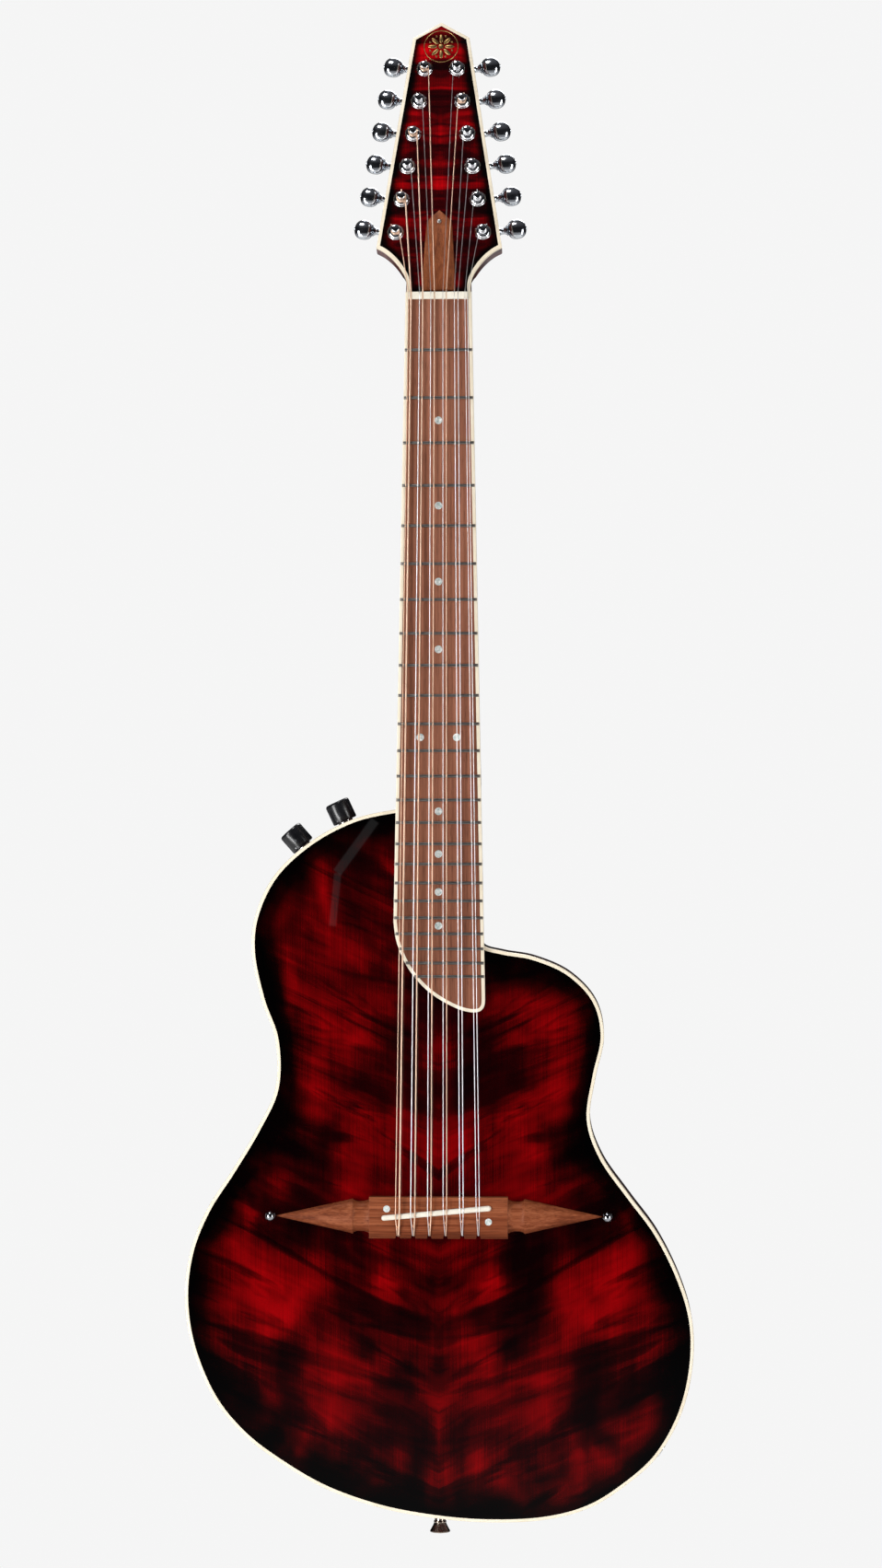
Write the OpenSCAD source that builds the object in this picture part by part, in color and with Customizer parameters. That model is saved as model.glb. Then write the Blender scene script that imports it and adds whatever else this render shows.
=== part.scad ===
// Twelve-string, six-course long-necked plucked instrument with a thin chambered body, one deep
// cutaway, a back-angled headstock and a set neck.
// Millimetres. +Z runs up the neck, the playing side faces -Y, +X is the treble side.
// The origin is the centre of the neck at the nut, in the plane of the soundboard.

/* [Scale and fingerboard] */
// Length of the open strings, from the nut to the saddle
scale_length = 643.8; // [600:0.2:680]
// Half the fingerboard's width at the nut
nut_half_w = 23.65; // [20:0.05:28]
// How fast the half width grows along the board
board_taper = 0.01905; // [0:0.0005:0.04]
// Thickness of the fingerboard
board_t = 6; // [4:0.5:8]
// Width of every strip of binding
binding_w = 2.4; // [1.5:0.1:4]
// Height of the fret crowns over the board
fret_h = 1.05; // [0.6:0.05:1.6]
// Length of the nut along the neck
nut_l = 5.2; // [4:0.1:7]

/* [Body] */
// Depth of the body from soundboard to back
body_t = 50; // [35:1:80]
// Thickness of the soundboard
top_t = 5; // [2.5:0.5:8]
// Thickness of the chambered shell's sides
side_t = 8; // [4:0.5:14]
// Thickness of the shell's back
back_t = 6; // [3:0.5:10]
// Width of the solid block under the strings
block_w = 64; // [40:1:90]

/* [Neck and headstock] */
// Depth of the neck over its half width
neck_depth_k = 0.6; // [0.4:0.05:0.9]
// Backward tilt of the headstock in degrees
head_tilt = 15; // [0:0.5:20]
// Thickness of the headstock's wood
head_t = 13; // [10:0.5:16]
// Thickness of the headstock's veneer
veneer_t = 2.5; // [1:0.1:4]

/* [Tuners] */
// Distance from the nut to the first row of posts
first_row = 45.5; // [35:0.5:60]
// Distance between rows of posts
row_pitch = 25.4; // [20:0.1:30]
// Post distance from the centre line in the first row
post_x = 31.3; // [25:0.1:36]
// How much closer to the centre line each next row is
post_step = 3.92; // [0:0.01:6]
// Radius of a string post
post_r = 3; // [2.5:0.05:4]
// Running clearance around every turning shaft
run_gap = 0.05; // [0.02:0.01:0.1]

/* [Bridge] */
// Height of the bridge over the soundboard
bridge_h = 8.5; // [6:0.5:12]
// Height of the saddle's crown over the soundboard
saddle_h = 11; // [8:0.5:15]

/* [Hidden] */
$fn = 72;
fret_end = 0.3;
spline_steps = 4;
board_curve_steps = 3;
head_curve_steps = 3;
ext = 1;
tilt_normal = 8.55;
block_half = block_w / 2;

// Body outline, round numbers in X and Z, starting left of the neck and going round by the bass side
body_points = [
    [-32, -364], [-62, -371], [-92, -387], [-117, -410], [-131, -438], [-134, -466], [-127, -500],
    [-117, -529], [-117, -563], [-130, -592], [-148, -622], [-166, -650], [-178, -680], [-182, -713],
    [-177, -748], [-162, -784], [-140, -811], [-112, -832], [-80, -850], [-42, -863], [-4, -870],
    [35, -873], [75, -871], [108, -862], [136, -844], [157, -824], [173, -795], [181, -762],
    [181, -729], [172, -698], [156, -666], [136, -639], [117, -612], [108, -585], [112, -555],
    [118, -526], [112, -500], [93, -480], [68, -469], [46, -465], [31, -460], [30, -445],
    [30, -420], [30, -395], [24, -375], [8, -365], [-12, -363]
];

// The slanted, curved end of the fingerboard, from its bass edge to its treble edge
board_end = [
    [-32.1, -444], [-30.5, -456], [-26, -469], [-19, -481], [-9, -492], [2, -500],
    [14, -506], [23, -508.3], [29.5, -507.6], [32.6, -504], [33.2, -499]
];

// The concave throat of the headstock on the treble side, from the nut to the wing's corner
head_throat = [[23.3, -3], [22.7, 4], [24, 11], [27.3, 17.5], [32.5, 24.5], [39, 30.5], [45, 34]];
head_shoulder = [20.5, 197];
head_tip = [0, 209];

// Strings from bass to treble: nut X, saddle X, wire radius, post side, post row, course, wound
strings = [
    [-21.3, -30.5, 0.30, -1, 0, 0, 1], [-19.5, -27.7, 0.60, -1, 1, 0, 1],
    [-13.4, -19.7, 0.22, -1, 2, 1, 0], [-11.1, -16.7, 0.48, -1, 3, 1, 1],
    [-5.4, -7.6, 0.18, -1, 4, 2, 0], [-2.8, -5.1, 0.40, -1, 5, 2, 1],
    [3.2, 3.5, 0.15, 1, 5, 3, 0], [5.6, 6.0, 0.34, 1, 4, 3, 1],
    [11.3, 15.3, 0.18, 1, 3, 4, 0], [14.0, 17.8, 0.18, 1, 2, 4, 0],
    [18.9, 27.0, 0.15, 1, 1, 5, 0], [20.7, 29.3, 0.15, 1, 0, 5, 0]
];
notch_x = [-29, -18, -6.5, 5, 17, 28.5];
string_nut_y = -7.9;
string_post_h = 7.4;
notch_z = -667.6;

// Catmull-Rom curves through lists of points
function curve_pt(a, b, c, d, t) =
    (2 * b + (c - a) * t + (2 * a - 5 * b + 4 * c - d) * t * t
    + (3 * b - a - 3 * c + d) * t * t * t) / 2;
function closed_curve(p, m) = let (n = len(p)) [
    for (i = [0 : n - 1], j = [0 : m - 1])
        curve_pt(p[(i + n - 1) % n], p[i], p[(i + 1) % n], p[(i + 2) % n], j / m)
];
function open_curve(p, m) = let (n = len(p)) concat([
    for (i = [0 : n - 2], j = [0 : m - 1])
        curve_pt(p[max(i - 1, 0)], p[i], p[i + 1], p[min(i + 2, n - 1)], j / m)
], [p[n - 1]]);
function reversed(p) = [for (i = [len(p) - 1 : -1 : 0]) p[i]];
function flipped(p) = [for (q = p) [-q.x, q.y]];
function unit(v) = v / norm(v);
function left_of(v) = [-v.y, v.x];

// Moves a counter-clockwise outline inwards by d
function inset(p, d) = let (n = len(p)) [
    for (i = [0 : n - 1])
        let (
            u = left_of(unit(p[i] - p[(i + n - 1) % n])),
            v = left_of(unit(p[(i + 1) % n] - p[i]))
        ) p[i] + d * (u + v) / (1 + u * v)
];

body_outline = closed_curve(body_points, spline_steps);
body_inner = inset(body_outline, binding_w);
body_chamber = inset(body_outline, side_t);

function board_half(z) = nut_half_w - board_taper * z;
function board_outline(top) = concat(
    [[-board_half(top), top]],
    open_curve(board_end, board_curve_steps),
    [[board_half(top), top]]
);
board_outer = board_outline(nut_l);
board_inner = inset(board_outline(nut_l + binding_w), binding_w);

throat = open_curve(head_throat, head_curve_steps);
head_outline = concat(throat, [head_shoulder, head_tip, [-head_shoulder.x, head_shoulder.y]],
    reversed(flipped(throat)));
head_inner = inset(head_outline, binding_w);

function fret_z(k) = -scale_length * (1 - pow(2, -k / 12));
function dot_z(k) = (fret_z(k) + fret_z(k - 1)) / 2;

// A point given in the headstock's own plane: across, behind its face, and up from the nut
function head_pt(x, y, u) = [
    x, y * cos(head_tilt) + u * sin(head_tilt),
    nut_l + u * cos(head_tilt) - y * sin(head_tilt)
];
function row_u(k) = first_row + row_pitch * k;
function row_x(k) = post_x - post_step * k;

// Saddle line
saddle_a = [-38.7, -654.8];
saddle_b = [35.7, -647.8];
saddle_w = 3.8;
saddle_angle = atan2(saddle_b.y - saddle_a.y, saddle_b.x - saddle_a.x);
function saddle_z(x) = saddle_a.y
    + (x - saddle_a.x) * (saddle_b.y - saddle_a.y) / (saddle_b.x - saddle_a.x);
bridge_z = -654.3;
bridge_half_l = 49.5;
bridge_front = -640;
bridge_rear = -669.5;
ball_r = 0.95;
ball_back = 7.5;
ball_x = [-29.1, -18.3, -6.6, 4.4, 16.2, 28];

// Neck
neck_low = -400;
heel_top = -318;
tenon = [38, 35, 75];
rod_z = [-350, 20];
rod_y = 4.2;
rod_r = 3;
rod_slot = [6.4, 8];

// Tuner details, in a frame with X outboard, Y behind the head's face and Z towards its tip
bush_r = 4;
flange_r = 6.1;
flange_h = 2.2;
waist_r = 2.5;
worm_up = 7;
worm_y = 18.5;
worm_r = 2.4;
gear_r = 4.3;
shaft_r = 2;
house_x = [-8, 9.5];
house_y = [head_t, 24];
house_z = [-7.5, 12];
tab_z = -9.7;
tab_t = 1.5;
wall = 2;
button_x = 25.1;
button_size = [6.9, 4.6, 7.4];
collar_r = 2.9;

// Rim fittings: X, Z, and the turn about Y that points the local Z out of the body
rim_y = 27;
volume_at = [-98, -391, -41.4];
tone_at = [-68, -373.2, -25];
jack_at = [157.5, -823.7, 122.5];
strap_at = [0, -870.3, 180];
knob_r = 9;
knob_h = 13.3;
jack_bore_r = 3.2;

// Gap at each glue joint between the shell's centre block and its wings
glue_line = 0.05;
// X and Z where the pickup's wire goes down through the top
pickup_wire = [-38, -654.8];

// Electronics cover in the back
cover_c = [-100, -730];
cover_size = [72, 52];
cover_t = 1.5;
cover_lip = 5;
screw_in = 2.5;
screw_r = 1;
screw_l = 6;

// Places a child in the headstock's own plane
module in_head() {
    translate([0, 0, nut_l]) rotate([-head_tilt, 0, 0]) children();
}

// A prism of an outline in X and Z, between two depths in Y
module slab(outline, y0, y1) {
    translate([0, y1, 0]) rotate([90, 0, 0]) linear_extrude(y1 - y0) polygon(outline);
}

// Puts children at every tuner, in the tuner's own frame
module at_tuner(side, k) {
    in_head() scale_side(side) translate([row_x(k), 0, row_u(k)]) rotate([0, -tilt_normal, 0]) children();
}

module scale_side(side) {
    if (side > 0) children();
    else mirror([1, 0, 0]) children();
}

module at_tuners() {
    for (side = [-1, 1], k = [0 : 5]) at_tuner(side, k) children();
}

module at_rim(place) {
    translate([place.x, rim_y, place.y]) rotate([0, place.z, 0]) children();
}

// A straight round bar between two points
module bar(a, b, r) {
    d = b - a;
    translate(a)
        rotate([0, acos(d.z / norm(d)), atan2(d.y, d.x)])
            cylinder(h = norm(d), r = r);
}

// A bar that follows a list of points, with a bead at each bend
module bent_bar(p, r, bead = 1.05) {
    for (i = [0 : len(p) - 2]) bar(p[i], p[i + 1], r);
    for (i = [1 : len(p) - 2]) translate(p[i]) sphere(r = r * bead);
}

// The shell before it is parted into its centre block and its two hollowed wings
module whole_shell() {
    difference() {
        union() {
            slab(body_outline, top_t + 1, body_t);
            slab(body_inner, top_t, top_t + 1);
        }
        difference() {
            slab(body_chamber, top_t - ext, body_t - back_t);
            translate([-block_half, 0, -900]) cube([block_w, body_t, 600]);
        }
        tenon_block();
        translate([-block_half - ext, 30, -690]) rotate([0, 90, 0]) cylinder(h = block_w + 2 * ext, r = 3);
        for (place = [volume_at, tone_at]) at_rim(place) {
            translate([0, 0, -20]) cylinder(h = 11.5, r = 9);
            translate([0, 0, -12]) cylinder(h = 14, r = 3.5);
            translate([0, 0, -0.6]) cylinder(h = 4, r = 6.5);
        }
        at_rim(jack_at) {
            translate([0, 0, -14]) cylinder(h = 16, r = 6);
            translate([0, 0, -1.2]) cylinder(h = 5, r = 7.5);
        }
        at_rim(strap_at) {
            translate([0, 0, -20]) cylinder(h = 22, r = 1.6);
            translate([0, 0, -0.2]) cylinder(h = 4, r = 6.5);
        }
        cover_plate();
        opening = cover_size - 2 * [cover_lip, cover_lip];
        translate([cover_c.x - opening.x / 2, body_t - back_t - ext, cover_c.y - opening.y / 2])
            cube([opening.x, back_t + 2 * ext, opening.y]);
        cover_screws();
    }
}

module shell_piece(x0, x1) {
    intersection() {
        whole_shell();
        translate([x0, 0, -900]) cube([x1 - x0, body_t + ext, 600]);
    }
}

module body_shell() color([0.30, 0.05, 0.04]) {
    shell_piece(-200, -block_half - glue_line);
    shell_piece(-block_half, block_half);
    shell_piece(block_half + glue_line, 200);
}

module top_half(x0) {
    intersection() {
        slab(body_inner, 0, top_t);
        translate([x0, -ext, -900]) cube([200, top_t + 2 * ext, 600]);
    }
}

module soundboard_bass() color([0.42, 0.02, 0.02]) difference() {
    top_half(-200);
    translate([pickup_wire.x, -ext, pickup_wire.y]) rotate([-90, 0, 0]) cylinder(h = top_t + 2 * ext, r = 1.2);
}

module soundboard_treble() color([0.46, 0.02, 0.02]) top_half(0);

module body_binding() color([0.93, 0.87, 0.72]) difference() {
    slab(body_outline, 0, top_t + 1);
    slab(body_inner, -ext, top_t + 1 + ext);
}

module top_braces() color([0.80, 0.66, 0.45]) {
    brace_h = 8;
    brace_w = 6;
    for (b = [[-104, -34, -560], [-148, -34, -780], [34, 98, -560], [34, 160, -780]])
        translate([b[0], top_t, b[2]]) cube([b[1] - b[0], brace_h, brace_w]);
}

module tenon_block() {
    translate([-tenon.x / 2, top_t + 1, -425]) cube([tenon.x, tenon.y - 1, tenon.z]);
}

module rod_channel() {
    translate([-rod_slot.x / 2, -3, rod_z[0]]) cube([rod_slot.x, rod_slot.y + 3, rod_z[1] - rod_z[0]]);
}

module neck() color([0.34, 0.10, 0.06]) {
    difference() {
        union() {
            difference() {
                translate([0, 0, neck_low]) scale([1, neck_depth_k, 1])
                    cylinder(h = nut_l - neck_low, r1 = board_half(neck_low), r2 = board_half(nut_l));
                translate([-50, -50, neck_low - ext]) cube([100, 50, 500]);
            }
            in_head() intersection() {
                slab(head_outline, 0, head_t);
                translate([-60, -ext, 0]) cube([120, head_t + 2 * ext, 220]);
            }
            difference() {
                translate([0, 0, neck_low]) scale([1, 1.5, 1]) cylinder(h = heel_top - neck_low, r = 28);
                translate([-50, -50, neck_low - ext]) cube([100, 50, 200]);
                translate([-50, 47, heel_top]) rotate([0, 90, 0]) cylinder(h = 100, r = 32);
            }
            tenon_block();
        }
        difference() {
            slab(body_outline, -ext, body_t + 5);
            tenon_block();
        }
        rod_channel();
        at_tuners() {
            rotate([90, 0, 0]) translate([0, 0, -head_t - ext]) cylinder(h = head_t + 3 * ext, r = bush_r);
            tuner_screw();
        }
        cover_screw();
    }
}

module truss_rod() color([0.55, 0.56, 0.58]) {
    translate([0, rod_y, rod_z[0]]) cylinder(h = 358, r = rod_r - 0.2);
    translate([0, rod_y, 8]) cylinder(h = 10, r = 2.9, $fn = 6);
}

module fret_tangs() {
    for (k = [1 : 24]) translate([-40, -board_t, fret_z(k) - 0.3]) cube([80, 1.5, 0.6]);
}

module fret_crowns() {
    for (k = [1 : 24]) translate([-40, 0.05 - board_t, fret_z(k)]) rotate([0, 90, 0]) cylinder(h = 80, r = fret_h + 0.05);
}

module dots_on_board() {
    for (k = [3, 5, 7, 9, 15, 17, 19, 21]) translate([0, -board_t, dot_z(k)]) dot(3);
    for (x = [-13, 13]) translate([x, -board_t, dot_z(12)]) dot(3);
}

module dot(r) {
    rotate([-90, 0, 0]) cylinder(h = 1.2, r = r);
}

module fingerboard() color([0.48, 0.28, 0.21]) difference() {
    slab(board_inner, -board_t, 0);
    translate([-40, -10, 0]) cube([80, 20, 20]);
    fret_tangs();
    dots_on_board();
}

module fingerboard_binding() color([0.93, 0.87, 0.72]) difference() {
    slab(board_outer, -board_t, 0);
    slab(board_inner, -board_t - ext, ext);
}

module frets() color([0.80, 0.80, 0.78]) {
    intersection() {
        fret_crowns();
        slab(inset(board_outer, fret_end), -board_t - 3, -board_t);
    }
    intersection() {
        fret_tangs();
        slab(board_inner, -board_t, 0);
    }
}

module bridge_dot_cuts() {
    for (p = [[-36.9, -648.4], [35.7, -657.5]]) translate([p.x, -bridge_h, p.y]) dot(2.6);
}

module pearl_dots() color([0.86, 0.90, 0.88]) {
    dots_on_board();
    bridge_dot_cuts();
}

module string_slots() {
    for (s = strings) {
        half = 1.05 * s[2] + 0.05;
        translate([s[0] - half, -10, -ext]) cube([2 * half, 10 + string_nut_y + s[2] * 1.05 + 0.05, nut_l + 3]);
    }
}

module nut() color([0.92, 0.89, 0.80]) difference() {
    intersection() {
        slab(board_inner, -8.3, 0);
        translate([-40, -20, 0]) cube([80, 40, nut_l]);
    }
    string_slots();
}

module head_plate(outline, y0, y1) {
    intersection() {
        slab(outline, y0, y1);
        translate([-60, y0 - ext, 0]) cube([120, y1 - y0 + 2 * ext, 230]);
    }
}

module headstock_veneer() color([0.36, 0.02, 0.02]) difference() {
    in_head() head_plate(head_inner, -veneer_t, 0);
    at_tuners() rotate([90, 0, 0]) translate([0, 0, -ext]) cylinder(h = 2 * veneer_t, r = bush_r);
    rod_channel();
    cover_screw();
}

module headstock_binding() color([0.93, 0.87, 0.72]) in_head() difference() {
    head_plate(head_outline, -veneer_t, 0);
    slab(head_inner, -veneer_t - ext, ext);
}

module headstock_emblem() color([0.78, 0.60, 0.28]) in_head() translate([0, -veneer_t, 190]) rotate([90, 0, 0]) {
    emblem_t = 0.3;
    difference() {
        cylinder(h = emblem_t, r = 12.3);
        translate([0, 0, -ext]) cylinder(h = 3, r = 11.7);
    }
    cylinder(h = emblem_t, r = 2);
    for (a = [0 : 45 : 315]) rotate([0, 0, a]) translate([6, 0, 0]) scale([1, 0.45, 1]) cylinder(h = emblem_t, r = 3.4);
}

cover_outline = [[12, 0.6], [11.2, 18], [10.2, 36], [9, 53], [5, 57.5], [0, 62],
    [-5, 57.5], [-9, 53], [-10.2, 36], [-11.2, 18], [-12, 0.6]];
cover_h = 1.8;
cover_screw_u = 53;

module truss_rod_cover() color([0.45, 0.24, 0.13]) difference() {
    in_head() slab(cover_outline, -veneer_t - cover_h, -veneer_t);
    cover_screw();
}

// A pan-headed screw with its bearing face at Z = 0
module screw() {
    cylinder(h = 1.2, r = 1.9);
    translate([0, 0, -screw_l]) cylinder(h = screw_l + 0.5, r = screw_r);
}

module cover_screw() {
    in_head() translate([0, -veneer_t - cover_h, cover_screw_u]) rotate([90, 0, 0]) screw();
}

module tuner_screw() {
    translate([0, head_t + tab_t, tab_z]) rotate([-90, 0, 0]) screw();
}

module cover_screws() {
    d = cover_size / 2 - [screw_in, screw_in];
    for (sx = [-1, 1], sz = [-1, 1])
        translate([cover_c.x + sx * d.x, body_t, cover_c.y + sz * d.y]) rotate([-90, 0, 0]) screw();
}

module small_screws() color([0.75, 0.75, 0.76]) {
    at_tuners() tuner_screw();
    cover_screw();
    cover_screws();
}

module cover_plate() {
    translate([cover_c.x - cover_size.x / 2, body_t - cover_t, cover_c.y - cover_size.y / 2])
        cube([cover_size.x, cover_t, cover_size.y]);
}

module battery_cover() color([0.06, 0.06, 0.06]) difference() {
    cover_plate();
    cover_screws();
}

module battery() color([0.75, 0.75, 0.72])
    translate([cover_c.x - 24, body_t - cover_t - 17, cover_c.y - 13]) cube([48, 17, 26]);

board_at = [-100, 42.4, -480.7];
module preamp_board() color([0.08, 0.30, 0.14]) {
    translate(board_at) cube([40, 1.6, 41.4]);
    translate(board_at + [6, -3, 8]) cube([8, 3.2, 12]);
    translate(board_at + [22, -4, 20]) rotate([-90, 0, 0]) cylinder(h = 4.2, r = 3);
    translate(board_at + [30, -4, 12]) rotate([-90, 0, 0]) cylinder(h = 4.2, r = 3);
}

module wiring() color([0.12, 0.12, 0.14]) {
    $fn = 24;
    wire_r = 0.8;
    bead = 1.3;
    bent_bar([[-80, 40, -481.5], [-60, 30, -600], [-42, 30, -690], [42, 30, -690], [112, 22.4, -791],
        [131.2, 22.4, -806.5]], wire_r, bead);
    bent_bar([[-94, 40, -481.5], [-110, 38, -600], [-110, 38, -716.5]], wire_r, bead);
    bent_bar([[-84.5, 27, -407], [-80, 35, -422], [-88, 40, -438.5]], wire_r, bead);
    bent_bar([[-59, 27, -392.3], [-66, 36, -425], [-66, 40, -438.5]], wire_r, bead);
    bent_bar([[pickup_wire.x, -1.9, pickup_wire.y], [pickup_wire.x, 24, pickup_wire.y], [-46, 36, -600], [-66, 40, -481.5]], wire_r, bead);
}

module spool_half() {
    // Turned arm: a cove running into a cone that ends in a point
    rotate_extrude() polygon([
        [0, 48.5], [12.2, 48.5], [11.6, 50.5], [11.1, 53], [10.8, 55], [10.8, 57], [11.2, 59.3],
        [12.4, 61.5], [8.2, 80], [4, 98], [1.2, 112], [0, 116]
    ]);
}

module bridge_arm() {
    rotate([0, 90, 0]) spool_half();
}

module saddle_shape(y0, y1) {
    mid = (saddle_a + saddle_b) / 2;
    half = norm(saddle_b - saddle_a) / 2;
    translate([mid.x, y0, mid.y]) rotate([0, -saddle_angle, 0]) {
        translate([-half, 0, -saddle_w / 2]) cube([2 * half, y1 - y0, saddle_w]);
        for (x = [-half, half]) translate([x, 0, 0]) rotate([-90, 0, 0]) cylinder(h = y1 - y0, r = saddle_w / 2);
    }
}

module balls() {
    for (x = ball_x) translate([x, 0.2 - bridge_h, saddle_z(x) - ball_back]) sphere(r = ball_r);
}

module piezo_hole() {
    translate([pickup_wire.x, -3, pickup_wire.y]) rotate([-90, 0, 0]) cylinder(h = 12, r = 1.4);
}

module bridge() color([0.46, 0.25, 0.16]) difference() {
    union() {
        translate([-bridge_half_l, -bridge_h, bridge_rear])
            cube([2 * bridge_half_l, bridge_h, bridge_front - bridge_rear]);
        for (m = [0, 1]) mirror([m, 0, 0]) difference() {
            translate([0, 0, bridge_z]) scale([1, 0.68, 1]) bridge_arm();
            translate([0, 0, -700]) cube([150, 30, 100]);
        }
    }
    saddle_shape(-bridge_h - ext, -2);
    bridge_dot_cuts();
    for (x = ball_x) translate([x, -bridge_h - ext, saddle_z(x) - ball_back])
        rotate([-90, 0, 0]) cylinder(h = ext + 1.3, r = ball_r + 0.1);
    piezo_hole();
    for (x = notch_x) translate([x - 1.5, -bridge_h - ext, bridge_rear - ext]) cube([3, bridge_h, 4]);
}

module saddle() color([0.94, 0.92, 0.85]) {
    saddle_shape(2.5 - saddle_h, -3);
    mid = (saddle_a + saddle_b) / 2;
    half = norm(saddle_b - saddle_a) / 2;
    translate([mid.x, 1.9 - saddle_h, mid.y]) rotate([0, 90 - saddle_angle, 0])
        translate([0, 0, -half]) cylinder(h = 2 * half, r = saddle_w / 2);
}

module piezo_pickup() color([0.70, 0.55, 0.25]) saddle_shape(-3, -2);

module bridge_studs() color([0.35, 0.36, 0.38]) for (x = [-120.5, 120.5])
    translate([x, 0, bridge_z]) rotate([90, 0, 0]) rotate_extrude() polygon([
        [0, 0], [2.4, 0], [3.1, 1], [3.5, 2.4], [3.4, 3.8], [2.8, 5.2], [1.7, 6.1], [0, 6.5]
    ]);

// One string: up out of its notch, over the saddle, over the nut and to its post
module string_run(s) {
    r = s[2];
    k = s[4];
    side = s[3];
    lift = 0.16;
    start_x = notch_x[s[5]] + (s[0] < (strings[2 * s[5]][0] + strings[2 * s[5] + 1][0]) / 2 ? -1 : 1) * (r + 0.12);
    end_x = side * (row_x(k) - waist_r - run_gap - r);
    bent_bar([
        [start_x, -1.5, notch_z], [start_x, -bridge_h - r * 0.6, notch_z],
        [s[1], -saddle_h - lift - r, saddle_z(s[1])], [s[0], string_nut_y, nut_l],
        head_pt(end_x, -string_post_h, row_u(k))
    ], r);
    at_tuner(side, k) rotate([90, 0, 0]) translate([0, 0, string_post_h - 1.1]) difference() {
        cylinder(h = 2.2, r = waist_r + run_gap + 2 * r);
        translate([0, 0, -ext]) cylinder(h = 5, r = waist_r + run_gap);
    }
}

module wound_strings() color([0.78, 0.55, 0.36]) for (s = strings) if (s[6] == 1) string_run(s);

module plain_strings() color([0.80, 0.80, 0.82]) for (s = strings) if (s[6] == 0) string_run(s);

module string_balls() color([0.80, 0.62, 0.36]) balls();

module tuner_housings() color([0.70, 0.71, 0.73]) at_tuners() difference() {
    union() {
        translate([house_x[0], house_y[0], house_z[0]])
            cube([house_x[1] - house_x[0], house_y[1] - house_y[0], house_z[1] - house_z[0]]);
        translate([-3, head_t, house_z[0] - 4.4]) cube([6, tab_t, 5]);
    }
    rotate([-90, 0, 0]) {
        cylinder(h = head_t + 4, r = post_r + run_gap);
        translate([0, 0, head_t + wall]) cylinder(h = 6.4, r = gear_r + 0.3);
    }
    translate([-6, worm_y, worm_up]) rotate([0, 90, 0]) {
        cylinder(h = 13.5, r = worm_r + 0.3);
        cylinder(h = 20, r = shaft_r + run_gap);
    }
    tuner_screw();
}

module tuner_bushings() color([0.80, 0.80, 0.82]) at_tuners() rotate([90, 0, 0]) difference() {
    union() {
        translate([0, 0, -8]) cylinder(h = 8 + veneer_t + 1, r = bush_r);
        translate([0, 0, veneer_t]) cylinder(h = 0.8, r = flange_r);
        translate([0, 0, veneer_t + 0.8]) cylinder(h = flange_h - 0.8, r1 = flange_r, r2 = 3.9);
    }
    translate([0, 0, -9]) cylinder(h = 20, r = post_r + run_gap);
}

// A string post with its gear inside the housing; Z runs out of the head's face
module post_shape() {
    rotate([90, 0, 0]) rotate_extrude() polygon([
        [0, -20.5], [gear_r, -20.5], [gear_r, -16.5], [post_r, -16.5], [post_r, 5.2], [waist_r, 5.9],
        [waist_r, 9], [post_r, 9.6], [post_r, 10.6], [post_r - 0.4, 11], [0, 11]
    ]);
}

// A thumb button on its worm shaft, along local X
module button_shape() {
    translate([0, worm_y, worm_up]) {
        rotate([0, 90, 0]) {
            translate([0, 0, -5.7]) cylinder(h = 11.4, r = worm_r);
            translate([0, 0, 0]) cylinder(h = 20, r = shaft_r);
            translate([0, 0, house_x[1] + 0.2]) cylinder(h = 10.5, r = collar_r);
        }
        translate([button_x, 0, 0]) scale(button_size) sphere(r = 1);
    }
}

module tuner_button(side, k) color([0.72, 0.74, 0.77]) at_tuner(side, k) button_shape();

module tuner_post(side, k) color([0.82, 0.82, 0.84]) at_tuner(side, k) post_shape();

module tuner_button_b1() tuner_button(-1, 0);
module tuner_button_b2() tuner_button(-1, 1);
module tuner_button_b3() tuner_button(-1, 2);
module tuner_button_b4() tuner_button(-1, 3);
module tuner_button_b5() tuner_button(-1, 4);
module tuner_button_b6() tuner_button(-1, 5);
module tuner_button_t1() tuner_button(1, 0);
module tuner_button_t2() tuner_button(1, 1);
module tuner_button_t3() tuner_button(1, 2);
module tuner_button_t4() tuner_button(1, 3);
module tuner_button_t5() tuner_button(1, 4);
module tuner_button_t6() tuner_button(1, 5);
module tuner_post_b1() tuner_post(-1, 0);
module tuner_post_b2() tuner_post(-1, 1);
module tuner_post_b3() tuner_post(-1, 2);
module tuner_post_b4() tuner_post(-1, 3);
module tuner_post_b5() tuner_post(-1, 4);
module tuner_post_b6() tuner_post(-1, 5);
module tuner_post_t1() tuner_post(1, 0);
module tuner_post_t2() tuner_post(1, 1);
module tuner_post_t3() tuner_post(1, 2);
module tuner_post_t4() tuner_post(1, 3);
module tuner_post_t5() tuner_post(1, 4);
module tuner_post_t6() tuner_post(1, 5);

// A control knob with its shaft; local Z points out of the rim
module knob_shape() {
    translate([0, 0, -11]) cylinder(h = 16, r = post_r);
    translate([0, 0, 2.4]) cylinder(h = knob_h - 1, r = knob_r);
    translate([0, 0, 1.4 + knob_h]) cylinder(h = 1, r1 = knob_r, r2 = knob_r - 1);
}

module volume_knob() color([0.05, 0.05, 0.05]) at_rim(volume_at) knob_shape();

module tone_knob() color([0.05, 0.05, 0.05]) at_rim(tone_at) knob_shape();

module potentiometers() color([0.62, 0.62, 0.60]) for (place = [volume_at, tone_at]) at_rim(place) difference() {
    union() {
        translate([0, 0, -17]) cylinder(h = 8.5, r = 8);
        translate([0, 0, -9]) cylinder(h = 11, r = 3.5);
        translate([0, 0, -0.6]) cylinder(h = 2.4, r = 5.5);
    }
    translate([0, 0, -15.5]) cylinder(h = 5.5, r = 6.5);
    translate([0, 0, -12]) cylinder(h = 16, r = post_r + run_gap);
}

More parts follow.
